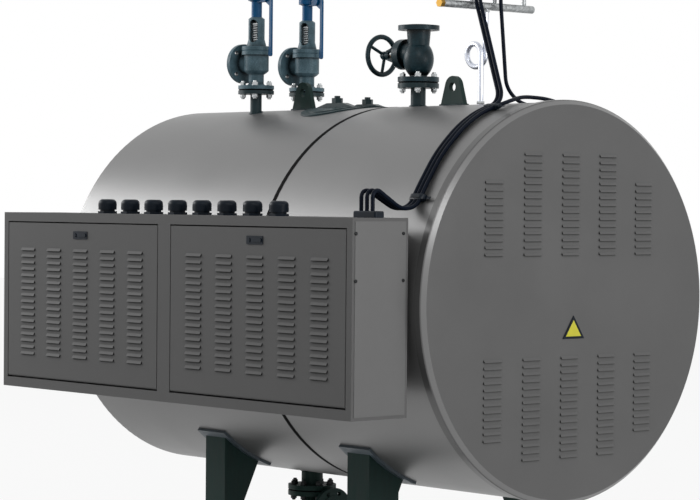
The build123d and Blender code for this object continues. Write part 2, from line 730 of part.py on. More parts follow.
for name, valve_y in (("near", -safety_y), ("far", safety_y)):
    valve_plane = Plane(origin=(safety_x, valve_y, safety_joint_z), x_dir=(1, 0, 0), z_dir=(0, -1, 0))
    valve_axis = Axis((safety_x, valve_y, 0), (0, 0, 1))

    # Cast body: inlet flange, neck, chamber, top flange and side outlet
    with BuildPart() as safety_body:
        with BuildSketch(valve_plane):
            with BuildLine():
                Polyline(
                    (0, flange_40["thickness"]),
                    (safety_neck_radius + safety_blend, flange_40["thickness"]),
                    (safety_neck_radius, flange_40["thickness"] + safety_blend),
                    (safety_neck_radius, safety_chamber_bottom - safety_blend),
                    (safety_chamber_radius - safety_blend, safety_chamber_bottom),
                    (safety_chamber_radius, safety_chamber_bottom + safety_blend),
                    (safety_chamber_radius, safety_chamber_top),
                    (safety_flange_radius, safety_chamber_top),
                    (safety_flange_radius, safety_chamber_top + safety_flange_thickness - safety_groove),
                    (safety_flange_radius - safety_groove, safety_chamber_top + safety_flange_thickness),
                    (0, safety_chamber_top + safety_flange_thickness),
                    close=True,
                )
            make_face()
        revolve(axis=valve_axis)
        pipe_flange(Plane(origin=(safety_x, valve_y, safety_joint_z), z_dir=(0, 0, 1)), flange_40)
        outlet_plane = Plane(
            origin=(safety_x - safety_outlet_reach, valve_y, safety_joint_z + safety_outlet_height),
            x_dir=(0, 1, 0),
            z_dir=(1, 0, 0),
        )
        pipe_flange(outlet_plane, flange_50)
        with BuildSketch(outlet_plane):
            Circle(safety_outlet_radius)
        extrude(amount=safety_outlet_reach)
        with BuildSketch(outlet_plane):
            Circle(bore_50)
        extrude(amount=safety_outlet_bore, mode=Mode.SUBTRACT)
    write(safety_body.part, f"safety_valve_body_{name}")

    # Open bonnet with a window on each side of the spring
    bonnet_plane = valve_plane.shift_origin((safety_x, valve_y, bonnet_joint_z))
    with BuildPart() as safety_bonnet:
        with BuildSketch(bonnet_plane):
            with BuildLine():
                Polyline(
                    (bonnet_bore, 0),
                    (safety_flange_radius - safety_groove, 0),
                    (safety_flange_radius, safety_groove),
                    (safety_flange_radius, safety_flange_thickness - safety_groove),
                    (safety_flange_radius - safety_groove, safety_flange_thickness),
                    (bonnet_base_radius, safety_flange_thickness),
                    (bonnet_top_radius, bonnet_taper),
                    (bonnet_top_radius, bonnet_height - bonnet_wall),
                    (cap_radius + 2, bonnet_height),
                    (0, bonnet_height),
                    (0, bonnet_height - bonnet_wall),
                    (bonnet_bore, bonnet_height - bonnet_wall),
                    close=True,
                )
            make_face()
        revolve(axis=valve_axis)
        window_plane = Plane(
            origin=bonnet_plane.origin,
            x_dir=(cos(radians(window_turn)), sin(radians(window_turn)), 0),
            z_dir=(sin(radians(window_turn)), -cos(radians(window_turn)), 0),
        )
        with BuildSketch(window_plane):
            with Locations((0, (window_bottom + window_top) / 2)):
                SlotOverall(window_top - window_bottom, window_width, rotation=90)
        extrude(amount=safety_flange_radius, both=True, mode=Mode.SUBTRACT)
    write(safety_bonnet.part, f"safety_valve_bonnet_{name}")

    # Coil spring around its spindle, as a sleeve with the coil's outline
    coil_pitch = (bonnet_height - bonnet_wall) / spring_turns
    with BuildPart() as safety_spring:
        with BuildSketch(bonnet_plane):
            with Locations((spindle_radius / 2, (bonnet_height - bonnet_wall) / 2)):
                Rectangle(spindle_radius, bonnet_height - bonnet_wall)
        revolve(axis=valve_axis)
        with BuildSketch(bonnet_plane):
            with Locations(((spring_radius - spring_wire) / 2, (bonnet_height - bonnet_wall) / 2)):
                Rectangle(spring_radius - spring_wire, (spring_turns - 1) * coil_pitch)
            for turn in range(spring_turns):
                with Locations((spring_radius - spring_wire, (turn + 0.5) * coil_pitch)):
                    Circle(spring_wire / 2)
        revolve(axis=valve_axis)
    write(safety_spring.part, f"safety_valve_spring_{name}")

    # Blue cap with the ears and pin that carry the lever
    cap_plane = bonnet_plane.shift_origin((safety_x, valve_y, bonnet_top_z))
    with BuildPart() as safety_cap:
        with BuildSketch(cap_plane):
            with BuildLine():
                cap_top = cap_height + head_height
                Polyline((0, 0), (cap_radius, 0), (cap_radius, cap_height - head_lip))
                Polyline(
                    (cap_radius, cap_height - head_lip),
                    (head_radius, cap_height),
                    (head_radius, cap_top),
                )
                ThreePointArc(
                    (head_radius, cap_top),
                    (head_radius / 2, cap_top + dome_height - dome_drop(head_radius, dome_height)),
                    (0, cap_top + dome_height),
                )
                Line((0, cap_top + dome_height), (0, 0))
            make_face()
        revolve(axis=valve_axis)
        ear_offset = lever_thickness / 2 + lever_side_gap
        for side in (-1, 1):
            ear_plane = Plane(
                origin=(safety_x, valve_y + side * ear_offset, lever_pivot_z),
                x_dir=(1, 0, 0),
                z_dir=(0, -1, 0),
            )
            with BuildSketch(ear_plane):
                with BuildLine():
                    Polyline(
                        (0, -lever_boss),
                        (lever_pivot_x, -lever_boss),
                        (lever_pivot_x, lever_boss),
                        (0, lever_boss),
                        close=True,
                    )
                make_face()
                with Locations((lever_pivot_x, 0)):
                    Circle(lever_boss)
            extrude(amount=-side * ear_thickness)
        with BuildSketch(Plane(origin=(safety_x, valve_y, lever_pivot_z), x_dir=(1, 0, 0), z_dir=(0, -1, 0))):
            with Locations((lever_pivot_x, 0)):
                Circle(lever_pin_radius)
        extrude(amount=ear_offset + ear_thickness, both=True)
    write(safety_cap.part, f"safety_valve_cap_{name}")

    # Lifting lever that hangs beside the bonnet
    lever_plane = Plane(origin=(safety_x, valve_y, lever_pivot_z), x_dir=(1, 0, 0), z_dir=(0, -1, 0))
    with BuildPart() as lever:
        with BuildSketch(lever_plane):
            with Locations((lever_pivot_x, 0)):
                Circle(lever_boss)
            with BuildLine():
                foot_start = lever_foot_length - lever_bar_end
                Polyline(
                    (lever_pivot_x, lever_boss),
                    (lever_bar_x - lever_waist / 2, lever_boss),
                    (lever_bar_x + lever_waist / 2, lever_boss - lever_waist),
                    (lever_bar_x + lever_waist / 2, foot_start),
                    (lever_bar_x + lever_waist / 2, -lever_bar_end),
                    (lever_bar_x - lever_foot / 2, -lever_bar_end),
                    (lever_bar_x - lever_waist / 2, foot_start),
                    (lever_bar_x - lever_waist / 2, -2 * lever_boss),
                    (lever_pivot_x, -lever_boss),
                    close=True,
                )
            make_face()
            with Locations((lever_bar_x + (lever_waist - lever_foot) / 4, -lever_bar_end)):
                Circle((lever_waist + lever_foot) / 4)
            with Locations((lever_pivot_x, 0)):
                Circle(lever_pin_radius + lever_pin_fit, mode=Mode.SUBTRACT)
        extrude(amount=lever_thickness / 2, both=True)
    write(lever.part, f"safety_lever_{name}")

# Steam outlet stub and its flange
with BuildPart() as steam_stub:
    pipe_flange(Plane(origin=(steam_x, 0, steam_joint_z), z_dir=(0, 0, -1)), flange_50)
    with BuildSketch(Plane.XY.offset(crown_z - shell_wall)):
        with Locations((steam_x, 0)):
            Circle(pipe_50)
    extrude(amount=steam_joint_z - flange_50["thickness"] - crown_z + shell_wall)
    shell_cut(seat_gap)
write(steam_stub.part, "steam_stub")

# Stop valve casting: straight body with a bulb and a side branch for the bonnet
steam_plane = Plane(origin=(steam_x, 0, steam_joint_z), x_dir=(1, 0, 0), z_dir=(0, -1, 0))
steam_axis = Axis((steam_x, 0, 0), (0, 0, 1))
stem_axis = Axis((0, 0, steam_axis_z), (1, 0, 0))
branch_face_x = steam_x - steam_branch_reach
with BuildPart() as steam_valve_body:
    with BuildSketch(steam_plane):
        with BuildLine():
            neck_low = (steam_inlet_neck, flange_50["thickness"])
            bulb_low = (steam_inlet_neck, steam_bulb_bottom)
            bulb_high = (steam_outlet_neck, steam_bulb_top)
            neck_high = (steam_outlet_flare, steam_face_to_face - flange_50["thickness"])
            Line((0, flange_50["thickness"]), neck_low)
            Line(neck_low, bulb_low)
            ThreePointArc(bulb_low, (steam_bulb_radius, (steam_bulb_bottom + steam_bulb_top) / 2), bulb_high)
            Line(bulb_high, neck_high)
            Line(neck_high, (0, neck_high[1]))
            Line((0, neck_high[1]), (0, flange_50["thickness"]))
        make_face()
    revolve(axis=steam_axis)
    pipe_flange(Plane(origin=(steam_x, 0, steam_joint_z), z_dir=(0, 0, 1)), flange_50)
    pipe_flange(Plane(origin=(steam_x, 0, steam_joint_z + steam_face_to_face), z_dir=(0, 0, -1)), flange_50)
    with BuildSketch(Plane.YZ.offset(branch_face_x)):
        with Locations((0, steam_axis_z)):
            Circle(steam_branch_radius)
    extrude(amount=steam_branch_reach)
    with BuildSketch(Plane.YZ.offset(branch_face_x)):
        with Locations((0, steam_axis_z)):
            Circle(steam_branch_flange)
    extrude(amount=steam_branch_thickness)
    with BuildSketch(Plane.XY.offset(steam_joint_z + steam_face_to_face)):
        with Locations((steam_x, 0)):
            Circle(bore_50)
    extrude(amount=-steam_bore_depth, mode=Mode.SUBTRACT)
write(steam_valve_body.part, "steam_valve_body")

# Bonnet with its yoke and the threaded nut that guides the stem
yoke_nut_x = steam_x - yoke_end
with BuildPart() as steam_valve_bonnet:
    bonnet_face_x = branch_face_x - steam_branch_thickness
    with BuildSketch(Plane.YZ.offset(bonnet_face_x)):
        with Locations((0, steam_axis_z)):
            Circle(steam_branch_flange)
    extrude(amount=steam_branch_thickness)
    with BuildSketch(Plane.YZ.offset(bonnet_face_x)):
        with Locations((0, steam_axis_z)):
            Circle(yoke_neck_radius)
    extrude(amount=-yoke_neck_length, taper=yoke_neck_taper)
    with BuildSketch(Plane(origin=(0, 0, steam_axis_z), x_dir=(1, 0, 0), z_dir=(0, -1, 0))):
        for side in (-1, 1):
            with BuildLine():
                Polyline(
                    (bonnet_face_x, side * yoke_foot_spread),
                    (yoke_nut_x, side * yoke_hub_radius),
                    (yoke_nut_x + yoke_hub_length, side * (yoke_hub_radius - yoke_arm_thickness)),
                    (bonnet_face_x, side * (yoke_foot_spread - yoke_arm_thickness)),
                    close=True,
                )
            make_face()
    extrude(amount=yoke_arm_width / 2, both=True)
    with BuildSketch(Plane.YZ.offset(yoke_nut_x)):
        with Locations((0, steam_axis_z)):
            Circle(yoke_hub_radius)
    extrude(amount=yoke_hub_length)
    with Locations((steam_x, 0, steam_axis_z)):
        Cylinder(
            stem_radius + stem_fit, 2 * stem_tip, rotation=(0, 90, 0), mode=Mode.SUBTRACT
        )
write(steam_valve_bonnet.part, "steam_valve_bonnet")

# Rising stem
with BuildPart() as steam_stem:
    with BuildSketch(Plane.YZ.offset(steam_x - stem_tip)):
        with Locations((0, steam_axis_z)):
            Circle(stem_radius)
    extrude(amount=stem_tip - steam_branch_reach - stem_seat)
write(steam_stem.part, "steam_stem")

# Dished handwheel with three spokes
with BuildPart() as steam_handwheel:
    rim_x = steam_x - wheel_rim_x
    hub_x = steam_x - wheel_hub_x
    with BuildSketch(Plane(origin=(0, 0, steam_axis_z), x_dir=(1, 0, 0), z_dir=(0, -1, 0))):
        with Locations((rim_x, wheel_rim_radius)):
            Circle(wheel_rim_wire)
    revolve(axis=stem_axis)
    with BuildSketch(Plane.YZ.offset(hub_x - wheel_hub_length / 2)):
        with Locations((0, steam_axis_z)):
            Circle(wheel_hub_radius)
    extrude(amount=wheel_hub_length)
    for spoke in range(wheel_spokes):
        angle = radians(wheel_spoke_turn + spoke * 360 / wheel_spokes)
        rim_end = Vector(rim_x, wheel_rim_radius * cos(angle), steam_axis_z + wheel_rim_radius * sin(angle))
        hub_end = Vector(hub_x, 0, steam_axis_z)
        with BuildSketch(Plane(origin=hub_end, z_dir=rim_end - hub_end)):
            Circle(wheel_spoke_radius)
        extrude(amount=(rim_end - hub_end).length)
    with Locations((hub_x, 0, steam_axis_z)):
        Cylinder(
            stem_radius + stem_fit, 2 * wheel_hub_length, rotation=(0, 90, 0), mode=Mode.SUBTRACT
        )
write(steam_handwheel.part, "steam_handwheel")

# Lifting lugs on the crown
with BuildPart() as lifting_lugs:
    for lug_x in (lug_rear_offset - leg_spacing / 2, lug_front_offset + leg_spacing / 2):
        with BuildSketch(Plane(origin=(lug_x, 0, crown_z), x_dir=(1, 0, 0), z_dir=(0, -1, 0))):
            with BuildLine():
                shoulder_z = lug_height - lug_crown_radius
                crown_arc = CenterArc((0, shoulder_z), lug_crown_radius, lug_lean, 180 - 2 * lug_lean)
                Polyline(crown_arc @ 1, (-lug_base / 2, -lug_root), (lug_base / 2, -lug_root), crown_arc @ 0)
            make_face()
            with Locations((0, lug_hole_height)):
                Circle(lug_hole_radius, mode=Mode.SUBTRACT)
        extrude(amount=lug_thickness / 2, both=True)
    shell_cut(seat_gap)
write(lifting_lugs.part, "lifting_lugs")

# Manhole: curved ring on the shell, curved cover inside it, two bridges with their studs and nuts
with BuildPart() as manhole_ring:
    with BuildSketch(Plane.XY.offset(axis_height)):
        with Locations((manhole_x, 0)):
            Ellipse(manhole_half_length, manhole_half_width)
            Ellipse(manhole_half_length - manhole_rim, manhole_half_width - manhole_rim, mode=Mode.SUBTRACT)
    extrude(amount=shell_radius + 2 * manhole_ring_rise)
    with Locations((0, 0, axis_height)):
        Cylinder(
            shell_radius + manhole_ring_rise, 2 * shell_length, rotation=(0, 90, 0), mode=Mode.INTERSECT
        )
    shell_cut(seat_gap)
write(manhole_ring.part, "manhole_ring")

with BuildPart() as manhole_cover:
    cover_length = manhole_half_length - manhole_rim - manhole_gap
    cover_width = manhole_half_width - manhole_rim - manhole_gap
    with BuildSketch(Plane.XY.offset(axis_height)):
        with Locations((manhole_x, 0)):
            Ellipse(cover_length, cover_width)
    extrude(amount=shell_radius + 2 * manhole_cover_rise)
    with Locations((0, 0, axis_height)):
        Cylinder(
            shell_radius + manhole_cover_rise, 2 * shell_length, rotation=(0, 90, 0), mode=Mode.INTERSECT
        )
        Cylinder(shell_radius - shell_wall / 2, 2 * shell_length, rotation=(0, 90, 0), mode=Mode.SUBTRACT)
write(manhole_cover.part, "manhole_cover")

with BuildPart() as manhole_bridges:
    for side in (-1, 1):
        seat_z = shell_surface(bridge_y + bridge_width / 2) + manhole_cover_rise
        top_z = shell_surface(bridge_y) + manhole_cover_rise + bridge_height
        with BuildSketch(Plane.XZ.offset(-side * bridge_y)):
            with BuildLine():
                Polyline(
                    (manhole_x - bridge_length / 2, seat_z - bridge_height),
                    (manhole_x - bridge_length / 2, seat_z),
                    (manhole_x - bridge_flat, top_z),
                    (manhole_x + bridge_flat, top_z),
                    (manhole_x + bridge_length / 2, seat_z),
                    (manhole_x + bridge_length / 2, seat_z - bridge_height),
                    close=True,
                )
            make_face()
        extrude(amount=bridge_width / 2, both=True)
        with BuildSketch(Plane.XY.offset(top_z)):
            with Locations((manhole_x, side * bridge_y)):
                RegularPolygon(nut_across / 2, 6, major_radius=False)
        extrude(amount=nut_height)
        with BuildSketch(Plane.XY.offset(top_z + nut_height)):
            with Locations((manhole_x, side * bridge_y)):
                Circle(stud_radius)
        extrude(amount=stud_tip)
    with Locations((0, 0, axis_height)):
        Cylinder(
            shell_radius + manhole_cover_rise + seat_gap,
            2 * shell_length,
            rotation=(0, 90, 0),
            mode=Mode.SUBTRACT,
        )
write(manhole_bridges.part, "manhole_bridges")

# Looped siphon pipe from the crown to the manifold
loop_x = siphon_x - siphon_loop_radius
corner_radius = siphon_loop_radius / cos(radians(180 / siphon_sides))
siphon_points = [(siphon_x, -siphon_shift, crown_z - siphon_root)]
for corner in range(siphon_sides):
    angle = radians((corner + 0.5) * 360 / siphon_sides)
    siphon_points.append(
        (
            loop_x + corner_radius * cos(angle),
            siphon_shift * (2 * corner / (siphon_sides - 1) - 1),
            siphon_loop_z + corner_radius * sin(angle),
        )
    )
siphon_points.append((siphon_x, siphon_shift, manifold_z))
with BuildPart() as siphon_pipe:
    with BuildLine():
        rounded_path(siphon_points)
    with BuildSketch(Plane(origin=siphon_points[0], z_dir=(0, 0, 1))):
        Circle(siphon_pipe_radius)
    sweep()
    shell_cut(seat_gap)
    with Locations((siphon_x, 0, manifold_z)):
        Cylinder(
            manifold_radius + seat_gap, 4 * manifold_far_y, rotation=(90, 0, 0), mode=Mode.SUBTRACT
        )
write(siphon_pipe.part, "siphon_pipe")

# Manifold pipe across the boiler, with a nipple for each instrument
instrument_places = [(siphon_x, switch_near_y), (siphon_x, switch_far_y), (siphon_x, gauge_y)]
nipple_top_z = manifold_z + manifold_radius + nipple_height
with BuildPart() as manifold:
    with BuildSketch(Plane.XZ.offset(-manifold_near_y)):
        with Locations((siphon_x, manifold_z)):
            Circle(manifold_radius)
    extrude(amount=manifold_near_y - manifold_far_y)
    with BuildSketch(Plane.XY.offset(manifold_z)):
        with Locations(*instrument_places):
            Circle(nipple_radius)
    extrude(amount=nipple_top_z - manifold_z)
write(manifold.part, "manifold")

with BuildPart() as manifold_plug:
    with BuildSketch(Plane.XZ.offset(-manifold_near_y)):
        with Locations((siphon_x, manifold_z)):
            RegularPolygon(plug_across / 2, 6, major_radius=False)
    extrude(amount=manifold_plug_length)
write(manifold_plug.part, "manifold_plug")

# Pressure controllers: small boxes on a hexagon fitting
switch_bottom_z = nipple_top_z + plug_length
gland_bottom_z = switch_bottom_z - switch_gland_length
gland_x = siphon_x + switch_gland_x
near_glands = (gland_x - switch_gland_spread / 2, gland_x + switch_gland_spread / 2)
far_glands = (gland_x,)
for name, place_y, glands in (("near", switch_near_y, near_glands), ("far", switch_far_y, far_glands)):
    with BuildPart() as pressure_switch:
        with BuildSketch(Plane.XY.offset(nipple_top_z)):
            with Locations((siphon_x, place_y)):
                RegularPolygon(plug_across / 2, 6, major_radius=False)
        extrude(amount=plug_length)
        with BuildSketch(Plane.XY.offset(switch_bottom_z)):
            with Locations((siphon_x + switch_forward, place_y)):
                RectangleRounded(switch_length, switch_width, switch_corner)
        extrude(amount=switch_height)
        fillet(pressure_switch.faces().sort_by(Axis.Z)[-1].edges(), switch_corner / 2)
        with BuildSketch(Plane.XY.offset(switch_bottom_z)):
            with Locations(*[(gland, place_y) for gland in glands]):
                Circle(cable_radius + switch_gland_wall)
        extrude(amount=-switch_gland_length)
    write(pressure_switch.part, f"pressure_switch_{name}")

# Pressure gauge facing the louvred end
with BuildPart() as pressure_gauge:
    gauge_z = nipple_top_z + plug_length + gauge_radius
    with BuildSketch(Plane.XY.offset(nipple_top_z)):
        with Locations((siphon_x, gauge_y)):
            RegularPolygon(plug_across / 2, 6, major_radius=False)
    extrude(amount=plug_length + gauge_depth / 4)
    with BuildSketch(Plane.YZ.offset(siphon_x - gauge_depth / 2)):
        with Locations((gauge_y, gauge_z)):
            Circle(gauge_radius)
    extrude(amount=gauge_depth)
    with BuildSketch(Plane.YZ.offset(siphon_x + gauge_depth / 2)):
        with Locations((gauge_y, gauge_z)):
            Circle(gauge_radius - gauge_bezel)
    extrude(amount=-gauge_bezel, mode=Mode.SUBTRACT)
write(pressure_gauge.part, "pressure_gauge")

# Signal cables: up from the entry frame, along the shell and on to the pressure controllers
bundle_radius = shell_radius + cable_radius + cable_lift
bundle_low_x = front_x - bundle_low_setback
bundle_high_x = front_x - bundle_high_setback
bundle_vertices = [
    (bundle_low_x, bundle_low_angle - 3),
    (bundle_low_x, bundle_low_angle + 3),
    (bundle_low_x - (bundle_low_x - bundle_high_x) / 3, 46),
    (bundle_high_x + (bundle_low_x - bundle_high_x) / 3, 58),
    (bundle_high_x, bundle_high_angle - 5),
    (bundle_high_x, bundle_high_angle + 5),
]


def on_bundle(x, angle, lift=0):
    """A knot of the cable run, just outside the shell at an angle above the horizontal."""
    reach = (bundle_radius + lift) / cos(radians(6.5))
    return (x, -reach * cos(radians(angle)), axis_height + reach * sin(radians(angle)))


cable_ends = [(near_glands[0], switch_near_y), (near_glands[1], switch_near_y), (gland_x, switch_far_y)]
with BuildPart() as signal_cables:
    for index, (end_x, end_y) in enumerate(cable_ends):
        shift = (index - 1) * cable_spacing
        start_x = cabinet_right_x - cable_entry_inset + (index - 1) * cable_entry_pitch
        entry_top = cabinet_top_z + entry_height
        knots = [
            (start_x, cabinet_middle_y, entry_top),
            (start_x, cabinet_middle_y, entry_top + cable_rise),
            (bundle_low_x + shift, -(shell_radius + cable_sag_gap), cabinet_top_z + cable_sag_rise),
        ]
        for knot_x, knot_angle in bundle_vertices:
            knots.append(on_bundle(knot_x + shift, knot_angle))
        if end_y == switch_far_y:
            for setback, knot_angle in zip(crossing_setbacks, crossing_angles):
                knots.append(on_bundle(front_x - setback, knot_angle, crossing_lift))
            knots.append((end_x, end_y + crossing_bow, crown_z + crossing_rise))
        knots.append((end_x, end_y, gland_bottom_z - 2 * switch_gland_length))
        knots.append((end_x, end_y, gland_bottom_z))
        with BuildLine() as cable_run:
            rounded_path(knots)
        with BuildSketch(Plane(origin=knots[0], z_dir=cable_run.line % 0)):
            Circle(cable_radius)
        sweep()
write(signal_cables.part, "signal_cables")

with BuildPart() as cable_ties:
    for first, second in ((0, 1), (4, 5)):
        low = Vector(*on_bundle(*bundle_vertices[first]))
        high = Vector(*on_bundle(*bundle_vertices[second]))
        with BuildSketch(Plane(origin=(low + high) / 2, x_dir=(1, 0, 0), z_dir=high - low)):
            inside = 2 * (cable_radius + tie_fit)
            outside = inside + 2 * tie_thickness
            SlotOverall(2 * cable_spacing + outside, outside)
            SlotOverall(2 * cable_spacing + inside, inside, mode=Mode.SUBTRACT)
        extrude(amount=tie_width / 2, both=True)
write(cable_ties.part, "cable_ties")

# Blow-down stub, elbow and their flanges
with BuildPart() as drain_stub:
    pipe_flange(Plane(origin=(drain_x, 0, drain_joint_z), z_dir=(0, 0, 1)), flange_80)
    with BuildSketch(Plane.XY.offset(drain_joint_z + flange_80["thickness"])):
        with Locations((drain_x, 0)):
            Circle(pipe_80)
    extrude(amount=axis_height - shell_radius + shell_wall - drain_joint_z - flange_80["thickness"])
    shell_cut(seat_gap)
write(drain_stub.part, "drain_stub")

with BuildPart() as drain_elbow:
    elbow_top = drain_joint_z - flange_80["thickness"]
    run_z = elbow_top - drain_bend_radius
    outlet_x = drain_x + drain_bend_radius + drain_run
    pipe_flange(Plane(origin=(drain_x, 0, drain_joint_z), z_dir=(0, 0, -1)), flange_80)
    with BuildSketch(Plane.XY.offset(elbow_top)):
        with Locations((drain_x, 0)):
            Circle(pipe_80)
    bend_axis = Axis((drain_x + drain_bend_radius, 0, elbow_top), (0, -1, 0))
    revolve(axis=bend_axis, revolution_arc=90)
    with BuildSketch(Plane.YZ.offset(drain_x + drain_bend_radius)):
        with Locations((0, run_z)):
            Circle(pipe_80)
    extrude(amount=drain_run)
    pipe_flange(Plane(origin=(outlet_x, 0, run_z), z_dir=(-1, 0, 0)), flange_80)
    with BuildSketch(Plane.YZ.offset(outlet_x)):
        with Locations((0, run_z)):
            Circle(bore_80)
    extrude(amount=-drain_run, mode=Mode.SUBTRACT)
write(drain_elbow.part, "drain_elbow")
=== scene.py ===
# %% [markdown]
# # A horizontal electric steam boiler
# The boiler is a lagged steel drum on four legs. A louvred pan closes its front end, a cabinet with
# drop-down doors hangs on its side, and valves, a manhole and a pressure manifold stand on its crown.
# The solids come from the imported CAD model, so this lesson starts by loading them as a fixed frame.

# %% Load the frame
import json
import math

import bpy
from mathutils import Matrix, Vector


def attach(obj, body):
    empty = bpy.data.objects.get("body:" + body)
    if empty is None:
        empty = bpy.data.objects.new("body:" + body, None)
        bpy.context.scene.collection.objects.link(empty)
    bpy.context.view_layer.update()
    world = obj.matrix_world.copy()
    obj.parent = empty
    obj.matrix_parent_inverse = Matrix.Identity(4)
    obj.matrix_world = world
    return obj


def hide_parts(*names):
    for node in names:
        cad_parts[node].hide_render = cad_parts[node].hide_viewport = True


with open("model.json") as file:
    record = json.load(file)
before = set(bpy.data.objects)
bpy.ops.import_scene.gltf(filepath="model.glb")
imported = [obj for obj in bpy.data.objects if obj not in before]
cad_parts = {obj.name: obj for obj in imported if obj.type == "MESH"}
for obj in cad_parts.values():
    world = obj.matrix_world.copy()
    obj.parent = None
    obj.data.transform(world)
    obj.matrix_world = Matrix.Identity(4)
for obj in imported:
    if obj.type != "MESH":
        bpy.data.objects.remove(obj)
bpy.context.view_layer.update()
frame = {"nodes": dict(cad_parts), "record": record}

# %% [markdown]
# ## The camera
# The photograph was taken from a little above mid-height, with a long lens that keeps the drum's ends
# nearly alike in size. The camera's place and turn were solved from the drum's circles and the
# cabinet's edges, so they are typed in as numbers. A camera looks along its own minus Z, so its matrix
# is built from the direction to the right, the direction up and the direction back to the lens.

# %% Place the camera
azimuth = math.radians(48.2315)
elevation = math.radians(1.1294)
roll = math.radians(0.498)
lens_mm = 130.93
camera_place = (7.62576, -6.95496, 1.42683)
back = Vector((
    math.sin(azimuth) * math.cos(elevation),
    -math.cos(azimuth) * math.cos(elevation),
    math.sin(elevation),
))
level_right = (-back).cross(Vector((0, 0, 1))).normalized()
level_up = level_right.cross(-back)
camera_right = level_right * math.cos(roll) + level_up * math.sin(roll)
camera_up = level_up * math.cos(roll) - level_right * math.sin(roll)
camera_data = bpy.data.cameras.new("photo_camera")
camera_data.sensor_width = 36.0
camera_data.lens = lens_mm
camera = bpy.data.objects.new("photo_camera", camera_data)
bpy.context.scene.collection.objects.link(camera)
turn = Matrix((camera_right, camera_up, back)).transposed().to_4x4()
camera.matrix_world = Matrix.Translation(camera_place) @ turn
bpy.context.scene.camera = camera
print("camera at", tuple(round(v, 3) for v in camera.location))

# %% [markdown]
# ## Helpers for finishes
# Colours are easiest to read as the hex values of a paint chart. Shaders work with linear light, so one
# function converts them. A second small function adds a shader node, sets its values and links its
# inputs, which keeps each finish short enough to read as a recipe. A third paints shade into inside
# corners, such as those under the louvres' hoods, by how much of the open air a point sees.

# %% Colour and node helpers
def paint(code):
    """Linear colour of an sRGB hex code."""
    parts = [int(code[i:i + 2], 16) / 255 for i in (1, 3, 5)]
    linear = [c / 12.92 if c <= 0.04045 else ((c + 0.055) / 1.055) ** 2.4 for c in parts]
    return (*linear, 1.0)


def add(tree, kind, inputs=None, **settings):
    """Add a node, set its properties, then set or link its inputs."""
    made = tree.nodes.new("ShaderNode" + kind)
    for key, value in settings.items():
        setattr(made, key, value)
    for key, value in (inputs or {}).items():
        if isinstance(value, bpy.types.NodeSocket):
            tree.links.new(value, made.inputs[key])
        else:
            made.inputs[key].default_value = value
    return made


def blank(name):
    """A new material with only its shader and output, and Object coordinates to read."""
    made = bpy.data.materials.new(name)
    made.use_nodes = True
    tree = made.node_tree
    shader = tree.nodes["Principled BSDF"]
    place = add(tree, "TexCoord").outputs["Object"]
    return made, tree, shader, place


def painted_corner_shade(tree, colour, reach):
    """Paint shade into a colour's inside corners: the less of the open air a point sees, the darker it
    is.
    """
    corner = add(tree, "AmbientOcclusion", {"Distance": reach}, samples=8, only_local=True)
    open_share = add(tree, "MapRange", {
        "Value": corner.outputs["AO"], "From Min": 0.58, "From Max": 0.92,
        "To Min": 0.1, "To Max": 1.0}).outputs["Result"]
    grey = add(tree, "CombineColor", {"Red": open_share, "Green": open_share, "Blue": open_share})
    darkened = add(tree, "MixRGB", {
        "Fac": 1.0, "Color1": colour, "Color2": grey.outputs["Color"]}, blend_type="MULTIPLY")
    return darkened.outputs["Color"]


print("grey paint is", tuple(round(c, 3) for c in paint("#8c8c8c")))

# %% [markdown]
# ## Powder-coated sheet
# The drum's jacket, its covers and the cabinet are sheet steel with a baked powder coat. Up close such
# a coat has the skin of an orange: shallow dimples a few millimetres across. From farther away the eye
# sees a satin grey whose tone wanders a little over half a metre. Dimples of 3 mm are too fine for this
# picture, so they are drawn at about 9 mm. The cover's bevelled edge gets a painted highlight, a paler
# and more metallic band, which the distance from the drum's axis tells apart.

# %% Powder coats
drum_radius = 0.75
drum_height = 1.05
edge_inner = 0.739
edge_outer = 0.758
edge_metal = 0.85
peel_mm = 9.0
sheet_shade_reach = 0.02


